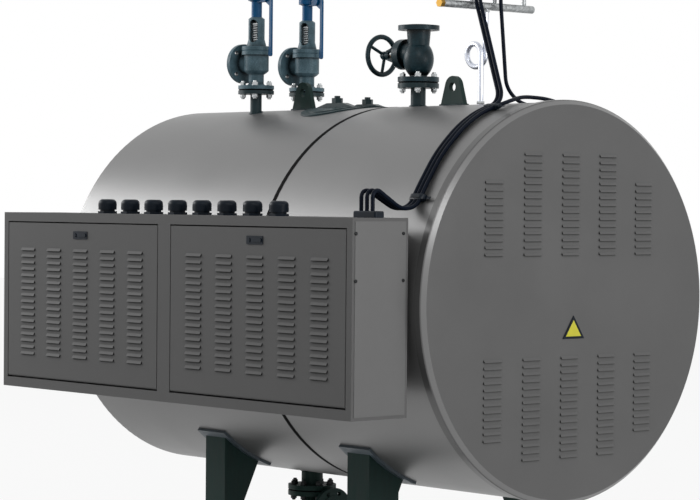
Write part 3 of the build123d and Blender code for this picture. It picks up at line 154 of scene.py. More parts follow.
def powder_coat(name, shade, dark, rough, metal=0.0, shine=0.5, rim_highlight_shade=None):
    """Satin powder coat on sheet steel: wandering tone, uneven gloss and a dimpled skin."""
    made, tree, shader, place = blank(name)
    cloud = add(tree, "TexNoise", {"Vector": place, "Scale": 2.2, "Detail": 5.0, "Roughness": 0.6})
    tone = add(tree, "ValToRGB", {"Fac": cloud.outputs["Fac"]})
    tone.color_ramp.elements[0].position = 0.3
    tone.color_ramp.elements[0].color = paint(dark)
    tone.color_ramp.elements[1].position = 0.7
    tone.color_ramp.elements[1].color = paint(shade)
    gloss = add(tree, "MapRange", {
        "Value": cloud.outputs["Fac"], "From Min": 0.3, "From Max": 0.7,
        "To Min": rough - 0.05, "To Max": rough + 0.05})
    colour = tone.outputs["Color"]
    shader.inputs["Metallic"].default_value = metal
    # Painted highlight: the bevelled rim gets a paler colour and more metal, standing in for the light
    # the bevel catches.
    if rim_highlight_shade:
        across = add(tree, "VectorMath", {0: place, 1: (0.0, 0.0, drum_height)}, operation="SUBTRACT")
        flat = add(tree, "VectorMath", {0: across.outputs[0], 1: (0.0, 1.0, 1.0)}, operation="MULTIPLY")
        reach = add(tree, "VectorMath", {0: flat.outputs[0]}, operation="LENGTH")
        share = add(tree, "MapRange", {
            "Value": reach.outputs["Value"], "From Min": edge_inner, "From Max": edge_outer})
        band = add(tree, "ValToRGB", {"Fac": share.outputs["Result"]})
        for element, stop in zip(band.color_ramp.elements, (0.0, 0.1)):
            element.position = stop
        for stop, level in ((0.75, 1), (0.9, 0)):
            band.color_ramp.elements.new(stop).color = (level, level, level, 1)
        colour = add(tree, "MixRGB", {
            "Fac": band.outputs["Color"], "Color1": colour, "Color2": paint(rim_highlight_shade)}).outputs["Color"]
        rim_highlight_metal = add(tree, "MapRange", {
            "Value": band.outputs["Color"], "To Min": metal, "To Max": edge_metal})
        tree.links.new(rim_highlight_metal.outputs["Result"], shader.inputs["Metallic"])
    skin = add(tree, "TexNoise", {"Vector": place, "Scale": 1000 / peel_mm, "Detail": 2.0})
    dimple = add(tree, "Bump", {"Height": skin.outputs["Fac"], "Strength": 0.05, "Distance": 0.002})
    # Painted shade darkens the coat in inside corners, such as under the louvres' hoods.
    tree.links.new(painted_corner_shade(tree, colour, sheet_shade_reach), shader.inputs["Base Color"])
    tree.links.new(gloss.outputs["Result"], shader.inputs["Roughness"])
    tree.links.new(dimple.outputs["Normal"], shader.inputs["Normal"])
    shader.inputs["Specular IOR Level"].default_value = shine
    return made


jacket_coat = powder_coat("jacket_powder_coat", "#828282", "#7c7c7c", rough=0.42, metal=0.6)
# The cover, the cabinet, the end panels and the saddle are one grey paint. These coats are lit and shaded
# copies of it: painted light makes the end panels and the saddle paler than the cabinet, and the cover is
# painted a shade darker.
cover_coat = powder_coat(
    "cover_powder_coat", "#606060", "#5b5b5b", rough=0.34, metal=0.3, rim_highlight_shade="#7c7c7c")
cabinet_coat = powder_coat("cabinet_powder_coat", "#727272", "#6d6d6d", rough=0.6, shine=0.12)
panel_coat = powder_coat("panel_powder_coat", "#7a7a7a", "#747474", rough=0.48, shine=0.3)
saddle_coat = powder_coat("saddle_powder_coat", "#8a8a8a", "#828282", rough=0.48)
print("powder coats are ready, materials so far:", len(bpy.data.materials))

# %% [markdown]
# ## Brushed paint on heavy steel
# Legs, pads, lugs, stubs and the safety valves' levers have a brushed-on enamel. It runs thick and thin,
# and gathers dust on its upper faces, which a mix by the surface normal gives. Brush marks are drawn
# about 18 mm wide and 80 mm long and specks of dust 11 mm wide, because finer ones would not show here.

# %% Enamels
def enamel(name, shade, dark, dust, rough, shine=0.5):
    """Brushed enamel on plate: streaky tone, uneven gloss and dust on what faces up."""
    made, tree, shader, place = blank(name)
    streak_place = add(tree, "Mapping", {"Vector": place, "Scale": (9.0, 9.0, 2.0)})
    streak = add(tree, "TexNoise", {
        "Vector": streak_place.outputs["Vector"], "Scale": 6.0, "Detail": 6.0})
    tone = add(tree, "MixRGB", {
        "Fac": streak.outputs["Fac"], "Color1": paint(dark), "Color2": paint(shade)})
    facing = add(tree, "SeparateXYZ", {"Vector": add(tree, "NewGeometry").outputs["Normal"]})
    grit = add(tree, "TexNoise", {"Vector": place, "Scale": 90.0, "Detail": 4.0})
    upward = add(tree, "MapRange", {
        "Value": facing.outputs["Z"], "From Min": 0.5, "From Max": 1.0, "To Min": 0.0, "To Max": 0.5})
    layer = add(tree, "Math", {
        0: upward.outputs["Result"], 1: grit.outputs["Fac"]}, operation="MULTIPLY")
    dusty = add(tree, "MixRGB", {
        "Fac": layer.outputs["Value"], "Color1": tone.outputs["Color"], "Color2": paint(dust)})
    gloss = add(tree, "MapRange", {
        "Value": streak.outputs["Fac"], "From Min": 0.3, "From Max": 0.7,
        "To Min": rough - 0.08, "To Max": rough + 0.1})
    ridges = add(tree, "Bump", {"Height": streak.outputs["Fac"], "Strength": 0.12, "Distance": 0.001})
    tree.links.new(dusty.outputs["Color"], shader.inputs["Base Color"])
    tree.links.new(gloss.outputs["Result"], shader.inputs["Roughness"])
    tree.links.new(ridges.outputs["Normal"], shader.inputs["Normal"])
    shader.inputs["Specular IOR Level"].default_value = shine
    return made


leg_enamel = enamel("leg_enamel", "#26403c", "#182a27", "#3c4c49", rough=0.5, shine=0.15)
pad_enamel = enamel("pad_enamel", "#55616a", "#49555c", "#6a747a", rough=0.45)
fitting_enamel = enamel("fitting_enamel", "#2a3f44", "#1e2e31", "#3f4c4c", rough=0.38, shine=0.2)
lever_enamel = enamel("lever_enamel", "#08639a", "#064a74", "#2c7096", rough=0.35, shine=0.2)
print("enamels are ready, materials so far:", len(bpy.data.materials))

# %% [markdown]
# ## Painted castings
# Valve bodies are poured in sand, and the paint does not hide it: grains of about 2 mm stay in the
# skin. They are drawn at about 5 mm here. The tone follows the grains, darker in their hollows, and
# painted shade darkens the inside corners.

# %% Castings
sand_mm = 5.0
casting_shade_reach = 0.03


def casting(name, shade, dark, rough, shine=0.2):
    """Painted sand casting: grainy skin whose hollows are darker, and painted shade in inside corners."""
    made, tree, shader, place = blank(name)
    sand = add(tree, "TexNoise", {
        "Vector": place, "Scale": 1000 / sand_mm, "Detail": 5.0, "Roughness": 0.65})
    patch = add(tree, "TexNoise", {"Vector": place, "Scale": 22.0, "Detail": 3.0})
    mix = add(tree, "Math", {0: sand.outputs["Fac"], 1: patch.outputs["Fac"]}, operation="MULTIPLY")
    spread = add(tree, "MapRange", {"Value": mix.outputs["Value"], "From Min": 0.12, "From Max": 0.4})
    tone = add(tree, "MixRGB", {
        "Fac": spread.outputs["Result"], "Color1": paint(dark), "Color2": paint(shade)})
    skin = add(tree, "Bump", {"Height": sand.outputs["Fac"], "Strength": 0.3, "Distance": 0.0015})
    # Painted shade darkens the casting's inside corners.
    tree.links.new(painted_corner_shade(tree, tone.outputs["Color"], casting_shade_reach), shader.inputs["Base Color"])
    tree.links.new(skin.outputs["Normal"], shader.inputs["Normal"])
    shader.inputs["Roughness"].default_value = rough
    shader.inputs["Specular IOR Level"].default_value = shine
    return made


safety_casting = casting("safety_valve_casting", "#6f8b97", "#476069", rough=0.42)
steam_casting = casting("steam_valve_casting", "#25424b", "#0f2127", rough=0.36)
print("castings:", safety_casting.name, steam_casting.name)

# %% [markdown]
# ## Bare metals
# The siphon is drawn stainless tube, the nuts and springs are plated or blackened steel, the manifold is
# galvanised pipe and its plug is brass. Fine scratches break up their shine. Real ones are hair-thin, so
# they are drawn 5 to 12 mm apart to show here. The manifold's zinc freezes in spangles about 10 mm
# across, which a Voronoi pattern draws.

# %% Metals
def bright_metal(name, shade, rough, scratch_mm, depth=0.05):
    """Ground, drawn or plated metal: fine scratches in the gloss and the skin."""
    made, tree, shader, place = blank(name)
    lines = add(tree, "TexNoise", {"Vector": place, "Scale": 1000 / scratch_mm, "Detail": 3.0})
    gloss = add(tree, "MapRange", {
        "Value": lines.outputs["Fac"], "From Min": 0.3, "From Max": 0.7,
        "To Min": rough - depth, "To Max": rough + depth})
    skin = add(tree, "Bump", {"Height": lines.outputs["Fac"], "Strength": depth, "Distance": 0.0005})
    tree.links.new(gloss.outputs["Result"], shader.inputs["Roughness"])
    tree.links.new(skin.outputs["Normal"], shader.inputs["Normal"])
    shader.inputs["Base Color"].default_value = paint(shade)
    shader.inputs["Metallic"].default_value = 1.0
    return made


stainless = bright_metal("drawn_stainless", "#d0d4de", rough=0.34, scratch_mm=9.0, depth=0.01)
ground_steel = bright_metal("ground_steel", "#9a9c9e", rough=0.34, scratch_mm=5.0)
plated_steel = bright_metal("zinc_plated_steel", "#b4b7b8", rough=0.36, scratch_mm=5.0)
black_steel = bright_metal("blackened_steel", "#2b2c2d", rough=0.45, scratch_mm=5.0)
brass = bright_metal("turned_brass", "#a5803c", rough=0.38, scratch_mm=5.0)
mill_steel = bright_metal("mill_steel", "#6f7173", rough=0.5, scratch_mm=12.0)

spangle_mm = 10.0
zinc, tree, shader, place = blank("galvanised_zinc")
spangle = add(tree, "TexVoronoi", {"Vector": place, "Scale": 1000 / spangle_mm})
flake = add(tree, "SeparateColor", {"Color": spangle.outputs["Color"]})
tone = add(tree, "MixRGB", {
    "Fac": flake.outputs["Red"], "Color1": paint("#8d9091"), "Color2": paint("#b4b7b8")})
gloss = add(tree, "MapRange", {"Value": flake.outputs["Green"], "To Min": 0.3, "To Max": 0.55})
tree.links.new(tone.outputs["Color"], shader.inputs["Base Color"])
tree.links.new(gloss.outputs["Result"], shader.inputs["Roughness"])
shader.inputs["Metallic"].default_value = 0.9
print("metals are ready, materials so far:", len(bpy.data.materials))

# %% [markdown]
# ## Plastics and rubber
# Glands and latches are moulded nylon with a fine spark-eroded grain. Cable jackets are PVC: smooth and
# blue-black, with a faint shine. The drum's seal and the gaskets are dull black rubber. Their grain is
# under a millimetre, too fine for this picture, so it is drawn at 3 to 5 mm.

# %% Plastics
def moulded(name, shade, dark, rough, grain_mm, shine=0.25):
    """Moulded plastic or rubber: even colour, grained skin, slightly uneven gloss."""
    made, tree, shader, place = blank(name)
    grain = add(tree, "TexNoise", {"Vector": place, "Scale": 1000 / grain_mm, "Detail": 2.0})
    wear = add(tree, "TexNoise", {"Vector": place, "Scale": 14.0, "Detail": 4.0})
    tone = add(tree, "MixRGB", {
        "Fac": wear.outputs["Fac"], "Color1": paint(dark), "Color2": paint(shade)})
    gloss = add(tree, "MapRange", {
        "Value": wear.outputs["Fac"], "From Min": 0.3, "From Max": 0.7,
        "To Min": rough - 0.06, "To Max": rough + 0.06})
    skin = add(tree, "Bump", {"Height": grain.outputs["Fac"], "Strength": 0.1, "Distance": 0.0006})
    tree.links.new(tone.outputs["Color"], shader.inputs["Base Color"])
    tree.links.new(gloss.outputs["Result"], shader.inputs["Roughness"])
    tree.links.new(skin.outputs["Normal"], shader.inputs["Normal"])
    shader.inputs["Specular IOR Level"].default_value = shine
    return made


black_nylon = moulded("black_nylon", "#121f2c", "#0a121a", rough=0.4, grain_mm=3.0, shine=0.15)
seal_rubber = moulded("seal_rubber", "#09090a", "#050506", rough=0.7, grain_mm=4.0, shine=0.05)
cable_jacket = moulded("cable_pvc", "#0a1526", "#060d19", rough=0.4, grain_mm=5.0, shine=0.08)
switch_shell = moulded("switch_shell_plastic", "#454b50", "#3a4045", rough=0.45, grain_mm=3.0)
print("plastics are ready, materials so far:", len(bpy.data.materials))

# %% [markdown]
# ## Dress the solids
# Each solid keeps its shape and gets a finish by its record slot, so that a new solid with the same slot
# would be dressed as well. A few solids are dressed by name: the saddle and the end panels are painted
# paler than the cabinet, as painted light on faces turned to the louvred end, though their paint is the
# same grey. The lifting lugs are painted like the legs, and so is the blow-down pipe, dark as painted
# shade below the drum.

# %% Give each solid its finish
by_slot = {
    "shell_paint": jacket_coat,
    "cover_paint": cover_coat,
    "cabinet_paint": cabinet_coat,
    "black_seal": seal_rubber,
    "raw_steel": mill_steel,
    "bright_steel": stainless,
    "pad_paint": pad_enamel,
    "leg_paint": leg_enamel,
    "fitting_paint": fitting_enamel,
    "valve_casting": safety_casting,
    "steam_casting": steam_casting,
    "lever_blue": lever_enamel,
    "galvanised": zinc,
    "brass": brass,
    "black_plastic": black_nylon,
    "switch_plastic": switch_shell,
    "gauge_case": ground_steel,
    "cable_jacket": cable_jacket,
}
by_node = {
    "cabinet_saddle": saddle_coat,
    "end_panels": panel_coat,
    "lifting_lugs": leg_enamel,
    # Painted shade: the drain's stub and elbow take the dark leg enamel for the shadow under the drum.
    "drain_stub": leg_enamel,
    "drain_elbow": leg_enamel,
}
for entry in frame["record"]["subparts"]:
    solid = frame["nodes"][entry["node"]]
    solid.data.materials.clear()
    solid.data.materials.append(by_node.get(entry["node"], by_slot[entry["material_slot"]]))

# %% [markdown]
# ## Working by hand with operators
# Blender's operators act on whatever is selected, and loading the frame leaves every solid selected.
# So each piece starts from a cleared selection. Faces are picked in code by their centre and normal,
# as one would click them. A finished piece has its place applied to its mesh and rides on a body.

# %% Modelling helpers
def clear():
    """Deselect everything."""
    if bpy.context.object and bpy.context.object.mode != "OBJECT":
        bpy.ops.object.mode_set(mode="OBJECT")
    bpy.ops.object.select_all(action="DESELECT")


def only(piece):
    """Make one piece the selected and active one."""
    clear()
    piece.select_set(True)
    bpy.context.view_layer.objects.active = piece


def pick(piece, test):
    """Enter edit mode with just the faces selected whose centre and normal pass a test."""
    only(piece)
    bpy.ops.object.mode_set(mode="EDIT")
    bpy.ops.mesh.select_mode(type="FACE")
    bpy.ops.mesh.select_all(action="DESELECT")
    bpy.ops.object.mode_set(mode="OBJECT")
    for face in piece.data.polygons:
        face.select = test(face.center, face.normal)
    bpy.ops.object.mode_set(mode="EDIT")


def settle(piece, angle=40):
    """Leave edit mode, move the place into the mesh and smooth what is round."""
    only(piece)
    bpy.ops.object.transform_apply(location=True, rotation=True, scale=True)
    bpy.ops.object.shade_smooth_by_angle(angle=math.radians(angle))


def hand_over(piece, name, finish, body="boiler"):
    """Name and dress a finished piece, and let it ride on its body."""
    settle(piece)
    piece.name = name
    if finish:
        piece.data.materials.clear()
        piece.data.materials.append(finish)
    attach(piece, body)
    print(name, "has", len(piece.data.polygons), "faces")


def fuse(pieces):
    """Join pieces into the first one."""
    only(pieces[0])
    for piece in pieces:
        piece.select_set(True)
    bpy.ops.object.join()
    return pieces[0]


def repeat(master, places):
    """Copy a piece that stands on the origin along +Z to each place and direction, and join them."""
    settle(master)
    copies = []
    for spot, direction in places:
        copy = master.copy()
        copy.data = master.data.copy()
        bpy.context.scene.collection.objects.link(copy)
        turned = Vector((0, 0, 1)).rotation_difference(Vector(direction)).to_matrix().to_4x4()
        copy.data.transform(Matrix.Translation(spot) @ turned)
        copies.append(copy)
    bpy.data.objects.remove(master)
    return fuse(copies)


print("helpers are ready")

# %% [markdown]
# ## Flange bolts
# A pair of pipe flanges is held by studs with a nut at each end. One stud end is modelled: a hexagon
# nut with chamfered corners, a washer below it and the stud's rounded tip above it. It is copied to
# every hole of every closed flange pair. The studs below the drum are blackened as painted shade for
# the shadow under the drum, the others are plated.
# The flanges that face outwards stay empty for the next pipe.

# %% Model one stud end and copy it
up, down, rearward = (0, 0, 1), (0, 0, -1), (-1, 0, 0)
safety_spots = [(-0.604, -0.14), (-0.604, 0.14)]
safety_joints = [(x, y, 1.883) for x, y in safety_spots]
steam_joint = (0.238, 0, 1.895)
drain_joint = (-0.386, 0, 0.219)
stem_height = 2.01
washer_depth = 0.003


def stud_end(nut_radius, stud_radius):
    """Washer, chamfered hexagon nut and stud tip, standing on the origin along +Z."""
    height = nut_radius * 0.9
    clear()
    bpy.ops.mesh.primitive_cylinder_add(
        vertices=24, radius=nut_radius * 1.12, depth=washer_depth, location=(0, 0, washer_depth / 2))
    washer = bpy.context.object
    pick(washer, lambda centre, normal: normal.z > 0.9)
    bpy.ops.mesh.bevel(offset=0.0008, segments=1)
    clear()
    bpy.ops.mesh.primitive_cylinder_add(
        vertices=6, radius=nut_radius, depth=height, location=(0, 0, washer_depth + height / 2))
    nut = bpy.context.object
    pick(nut, lambda centre, normal: normal.z > 0.9)
    bpy.ops.mesh.bevel(offset=nut_radius * 0.14, segments=2)
    clear()
    tip = stud_radius * 0.8
    bpy.ops.mesh.primitive_cylinder_add(
        vertices=16, radius=stud_radius, depth=tip, location=(0, 0, washer_depth + height + tip / 2))
    stud = bpy.context.object
    pick(stud, lambda centre, normal: normal.z > 0.9)
    bpy.ops.mesh.bevel(offset=stud_radius * 0.25, segments=2)
    for part in (washer, nut, stud):
        settle(part)
    return fuse([washer, nut, stud])


def ring(centre, axis, radius, count, start, lift):
    """Places on a bolt circle, each facing along the axis, lifted off the joint's plane."""
    axis = Vector(axis)
    side = Vector((1, 0, 0)) if abs(axis.z) > 0.9 else Vector((0, 1, 0))
    places = []
    for index in range(count):
        angle = math.radians(start + index * 360 / count)
        spoke = side * math.cos(angle) + axis.cross(side) * math.sin(angle)
        places.append((Vector(centre) + spoke * radius + axis * lift, axis))
    return places


def both_faces(centre, **circle):
    """Places on the upper and the lower face of a level flange pair."""
    return ring(centre, up, **circle) + ring(centre, down, **circle)


crown = []
for joint in safety_joints:
    crown += both_faces(joint, radius=0.055, count=4, start=45, lift=0.018)
crown += both_faces(steam_joint, radius=0.0625, count=4, start=45, lift=0.022)
drain = both_faces(drain_joint, radius=0.08, count=8, start=22.5, lift=0.022)
bonnet = ring((0.158, 0, stem_height), rearward, radius=0.0535, count=6, start=0, lift=0.017)
flange_size = {"nut_radius": 0.0125, "stud_radius": 0.0075}
bonnet_size = {"nut_radius": 0.0065, "stud_radius": 0.004}
hand_over(repeat(stud_end(**flange_size), crown), "flange_studs", plated_steel)
# Painted shade: the drain's studs are blackened for the shadow under the drum.
hand_over(repeat(stud_end(**flange_size), drain), "drain_studs", black_steel)
hand_over(repeat(stud_end(**bonnet_size), bonnet), "bonnet_studs", plated_steel)

# %% [markdown]
# ## Gaskets
# The raised faces keep the flanges 6 mm apart, and a black rubber gasket fills the gap out to the rim.
# Each one is a round plate. Its two caps are inset, and a bridge between the inner faces opens the hole.

# %% Model the gaskets
def gasket(outer, inner, thickness):
    """A flat ring, lying on the origin with its middle in the joint's plane."""
    clear()
    bpy.ops.mesh.primitive_cylinder_add(vertices=64, radius=outer, depth=thickness)
    made = bpy.context.object
    pick(made, lambda centre, normal: abs(normal.z) > 0.9)
    bpy.ops.mesh.inset(thickness=outer - inner)
    bpy.ops.mesh.bridge_edge_loops()
    bpy.ops.object.mode_set(mode="OBJECT")
    return made


gap = 0.0058
gaskets = [
    repeat(gasket(outer=0.0715, inner=0.0445, thickness=gap), [(spot, up) for spot in safety_joints]),
    repeat(gasket(outer=0.0785, inner=0.0515, thickness=gap), [(steam_joint, up)]),
    repeat(gasket(outer=0.0955, inner=0.0695, thickness=gap), [(drain_joint, up)]),
]
hand_over(fuse(gaskets), "gaskets", seal_rubber)

# %% [markdown]
# ## Warning plate
# A bare yellow triangle with a dark border is fixed below the middle of the cover. It starts as a
# three-sided cylinder, stretched to the plate's width and height. An inset of its front face makes the
# border, and the inner face is pressed in by half a millimetre and gets the yellow enamel.

# %% Model the plate
plate_width = 0.116
plate_height = 0.086
plate_border = 0.009
plate_place = (1.0776, 0.019, 0.914)
facing_front = Matrix(((0, 0, 1, 0), (1, 0, 0, 0), (0, 1, 0, 0), (0, 0, 0, 1)))  # +Z turns to +X
plate_yellow, tree, shader, place = blank("plate_yellow_enamel")
fade = add(tree, "TexNoise", {"Vector": place, "Scale": 30.0, "Detail": 4.0})
tone = add(tree, "MixRGB", {
    "Fac": fade.outputs["Fac"], "Color1": paint("#d6cf2e"), "Color2": paint("#e9e343")})
tree.links.new(tone.outputs["Color"], shader.inputs["Base Color"])
shader.inputs["Roughness"].default_value = 0.35
clear()
bpy.ops.mesh.primitive_cylinder_add(vertices=3, radius=0.5, depth=0.003)
plate = bpy.context.object
low = min(v.co.y for v in plate.data.vertices)
high = max(v.co.y for v in plate.data.vertices)
wide = max(v.co.x for v in plate.data.vertices) * 2
plate.data.transform(Matrix.Diagonal((plate_width / wide, plate_height / (high - low), 1, 1)))
plate.data.transform(facing_front)
base = min(v.co.z for v in plate.data.vertices)
plate.data.transform(Matrix.Translation(Vector(plate_place) - Vector((0, 0, base))))
pick(plate, lambda centre, normal: normal.x > 0.9)
bpy.ops.mesh.inset(thickness=plate_border, depth=-0.0005)
bpy.ops.object.mode_set(mode="OBJECT")
plate.data.materials.append(black_nylon)
plate.data.materials.append(plate_yellow)
for face in plate.data.polygons:
    face.material_index = 1 if face.select and face.normal.x > 0.9 else 0
hand_over(plate, "warning_plate", None)

# %% [markdown]
# ## Panel screws
# The cabinet's end panel by the cover is held by pan-head screws along its upper part. A head is a short
# cylinder with a rounded edge and a sunk centre.

# %% Model and place the screws
panel_face = 1.006
head_height = 0.0034
clear()
bpy.ops.mesh.primitive_cylinder_add(
    vertices=20, radius=0.0062, depth=head_height, location=(0, 0, head_height / 2))
screw = bpy.context.object
pick(screw, lambda centre, normal: normal.z > 0.9)
bpy.ops.mesh.bevel(offset=0.0014, segments=3)
pick(screw, lambda centre, normal: normal.z > 0.99 and centre.z > head_height - 0.0001)
bpy.ops.mesh.inset(thickness=0.0022, depth=0)
bpy.ops.mesh.inset(thickness=0.0004, depth=-0.0014)
spots = []
for y in (-1.015, -0.789):
    for z in (1.142, 1.309):
        spots.append(((panel_face, y, z), (1, 0, 0)))
hand_over(repeat(screw, spots), "panel_screws", black_steel)

# %% [markdown]
# ## Safety valve springs
# In the solids each spring is a turned sleeve. Here it becomes a real coil: a small circle beside the
# axis is swept round and upwards by the Screw modifier. A spindle and two spring plates hold it, and the
# piece takes the place of both sleeves.

# %% Wind the springs
coil_turns = 8
coil_pitch = 0.0098
coil_radius = 0.0175
coil_start = 2.074
coil_end = coil_start + coil_turns * coil_pitch
plate_radius = 0.0225
wire_radius = 0.0034
clear()
bpy.ops.mesh.primitive_circle_add(
    vertices=12, radius=wire_radius, location=(coil_radius, 0, coil_start), rotation=(math.pi / 2, 0, 0))
coil = bpy.context.object
settle(coil)
winding = coil.modifiers.new("winding", "SCREW")
winding.axis = "Z"
winding.angle = math.tau
winding.iterations = coil_turns
winding.screw_offset = coil_pitch
winding.steps = 32
winding.use_normal_calculate = True
bpy.ops.object.modifier_apply(modifier=winding.name)
held = [coil]
spindle = (0.006, 2.05, 2.178)
lower_plate = (plate_radius, coil_start - 0.009, coil_start - 0.003)
upper_plate = (plate_radius, coil_end + 0.003, coil_end + 0.009)
for radius, low, high in (spindle, lower_plate, upper_plate):
    clear()
    bpy.ops.mesh.primitive_cylinder_add(
        vertices=32, radius=radius, depth=high - low, location=(0, 0, (low + high) / 2))
    round_bar = bpy.context.object
    pick(round_bar, lambda centre, normal: abs(normal.z) > 0.9)
    bpy.ops.mesh.bevel(offset=0.0012, segments=2)
    settle(round_bar)
    held.append(round_bar)
springs = repeat(fuse(held), [((x, y, 0), up) for x, y in safety_spots])
hand_over(springs, "safety_springs", plated_steel)
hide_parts("safety_valve_spring_near", "safety_valve_spring_far")

# %% [markdown]
# ## Weld beads
# Stubs and lugs are welded to the drum. A bead is a thin ring whose points are pushed about a little at
# random, so that it looks laid by hand. On the curved crown each ring lies square to the sheet.

# %% Lay the beads
def roughen(piece, seed):
    """Push the points of a piece about a little at random."""
    only(piece)
    bpy.ops.object.mode_set(mode="EDIT")
    bpy.ops.mesh.select_all(action="SELECT")
    bpy.ops.transform.vertex_random(offset=0.0007, seed=seed)
    bpy.ops.object.mode_set(mode="OBJECT")


def bead(major):
    """A welded ring round a pipe, lying on the origin."""
    clear()
    bpy.ops.mesh.primitive_torus_add(
        major_radius=major, minor_radius=0.0048, major_segments=72, minor_segments=10)
    made = bpy.context.object
    roughen(made, seed=5)
    return made


drum_top = drum_height + drum_radius
drum_bottom = drum_height - drum_radius
valve_places = []
for x, y in safety_spots:
    rise = math.sqrt(drum_radius ** 2 - y ** 2)
    valve_places.append(((x, y, drum_height + rise), (0, y, rise)))
beads = [
    repeat(bead(major=0.026), valve_places),
    repeat(bead(major=0.032), [((*steam_joint[:2], drum_top), up)]),
    repeat(bead(major=0.0465), [((*drain_joint[:2], drum_bottom), down)]),
]
for lug_x in (0.443, -0.457):
    for side in (-0.011, 0.011):
        clear()
        bpy.ops.mesh.primitive_cylinder_add(
            vertices=10, radius=0.0052, depth=0.136, location=(lug_x, side, drum_top + 0.001),
            rotation=(0, math.pi / 2, 0))
        seam = bpy.context.object
        settle(seam)
        pick(seam, lambda centre, normal: True)
        bpy.ops.mesh.subdivide(number_cuts=6)
        roughen(seam, seed=9)
        beads.append(seam)
hand_over(fuse(beads), "weld_beads", fitting_enamel)

# %% [markdown]
# ## Union nuts
# The siphon screws into the drum and the manifold with small steel nuts, the stop valve has a gland nut
# on its neck and a nut that holds the wheel, and each cable enters its switch through a plastic one. All
# are hexagons with their corners turned off.

# %% Model the nuts
def hexagon(radius, height):
    """A hexagon with turned corners, standing on the origin along +Z."""
    clear()
    bpy.ops.mesh.primitive_cylinder_add(
        vertices=6, radius=radius, depth=height, location=(0, 0, height / 2))
    made = bpy.context.object
    pick(made, lambda centre, normal: abs(normal.z) > 0.9)
    bpy.ops.mesh.bevel(offset=radius * 0.12, segments=2)
    return made


near_switch_y, far_switch_y = -0.065, 0.059
switch_bottom = 2.241
siphon_nuts = [((0.603, -0.012, 1.801), up), ((0.603, 0.012, 2.157), up)]
gland_nut = [((0.0995, 0, stem_height), rearward)]
wheel_nut = [((0.0301, 0, stem_height), rearward)]
switch_nuts = [((x, y, switch_bottom), up) for x, y in (
    (0.626, near_switch_y), (0.648, near_switch_y), (0.637, far_switch_y))]
hand_over(repeat(hexagon(radius=0.0155, height=0.012), siphon_nuts),
          "siphon_nuts", plated_steel)
hand_over(repeat(hexagon(radius=0.02, height=0.011), gland_nut),
          "stem_gland_nut", brass)
hand_over(repeat(hexagon(radius=0.0135, height=0.008), wheel_nut),
          "wheel_nut", ground_steel, "steam_handwheel")
hand_over(repeat(hexagon(radius=0.0135, height=0.009), switch_nuts),
          "switch_gland_nuts", black_nylon)

# %% [markdown]
# ## Grip ribs on the glands
# The glands' caps are tightened by hand, so their sides are ribbed. A ring with 48 sides stands round the
# cap, every second side is picked and pushed outwards.

# %% Rib the gland caps
rib_sides = 48
gland_count = 8
gland_pitch = 0.1517
row_middle = -0.084
row_y = -0.897


def is_rib(centre, normal):
    """Every second side of the ring, counted round from +X."""
    turned = math.degrees(math.atan2(centre.y, centre.x)) % 360
    return abs(normal.z) < 0.5 and int(turned / (360 / rib_sides)) % 2 == 0


clear()
bpy.ops.mesh.primitive_cylinder_add(
    vertices=rib_sides, radius=0.0368, depth=0.017, location=(0, 0, 1.3915))
cap_ring = bpy.context.object
settle(cap_ring)
pick(cap_ring, is_rib)
bpy.ops.mesh.extrude_faces_move(TRANSFORM_OT_shrink_fatten={"value": -0.0016})
bpy.ops.object.mode_set(mode="OBJECT")
gland_row = []
for index in range(gland_count):
    gland_x = row_middle + (index - (gland_count - 1) / 2) * gland_pitch
    gland_row.append(((gland_x, row_y, 0), up))
hand_over(repeat(cap_ring, gland_row), "gland_ribs", black_nylon)

# %% [markdown]
# ## Cable ties
# Two wide ties hold the cables. Each is closed by a small block, and the strap's cut end sticks out of
# it. The pieces are built flat and then stood on the drum's curve with a matrix of three directions.

# %% Model the tie heads
tie_reach = 0.761
tie_blocks = (  # size, middle and rounding of the strap's body, its head and its cut end
    ((0.064, 0.026, 0.022), (0, 0, 0.001), 0.004),
    ((0.018, 0.02, 0.015), (0.036, 0, 0.003), 0.003),
    ((0.03, 0.011, 0.0022), (0.055, -0.002, 0.003), 0.0008),
)
tie_pieces = []
for tie_x, angle in ((0.937, math.radians(30.5)), (0.876, math.radians(73))):
    outward = Vector((0, -math.cos(angle), math.sin(angle)))
    along = Vector((0, math.sin(angle), math.cos(angle)))
    stand = Matrix((Vector((1, 0, 0)), along, outward)).transposed().to_4x4()
    stand.translation = Vector((tie_x, 0, drum_height)) + outward * tie_reach
    for size, spot, offset in tie_blocks:
        clear()
        bpy.ops.mesh.primitive_cube_add(size=1)
        block = bpy.context.object
        block.data.transform(Matrix.Translation(spot) @ Matrix.Diagonal((*size, 1)))
        pick(block, lambda centre, normal: True)
        bpy.ops.mesh.bevel(offset=offset, segments=2)
        settle(block)
        block.data.transform(stand)
        tie_pieces.append(block)
hand_over(fuse(tie_pieces), "tie_heads", black_nylon)

# %% [markdown]
# ## Gauge dial
# The gauge's case has a recess for a white dial. Marks stand round three quarters of it, every fifth one
# longer. A black needle rests at zero, and a clear glass closes the recess. There are no words or
# figures. All of it is built lying flat, and one matrix then stands it in the recess.

# %% Model the dial
dial_white = moulded("dial_white_enamel", "#f1f1ee", "#e9e9e4", rough=0.4, grain_mm=4.0)
gauge_glass, _, shader, _ = blank("gauge_glass")
shader.inputs["Base Color"].default_value = paint("#ffffff")
shader.inputs["Roughness"].default_value = 0.03
shader.inputs["Transmission Weight"].default_value = 1.0
shader.inputs["IOR"].default_value = 1.45
dial_place = (0.616, 0.221, 2.308)
face_matrix = Matrix.Translation(dial_place) @ facing_front
mark_steps = 40
mark_sweep = 270
mark_reach = 0.039
zero_angle = 225


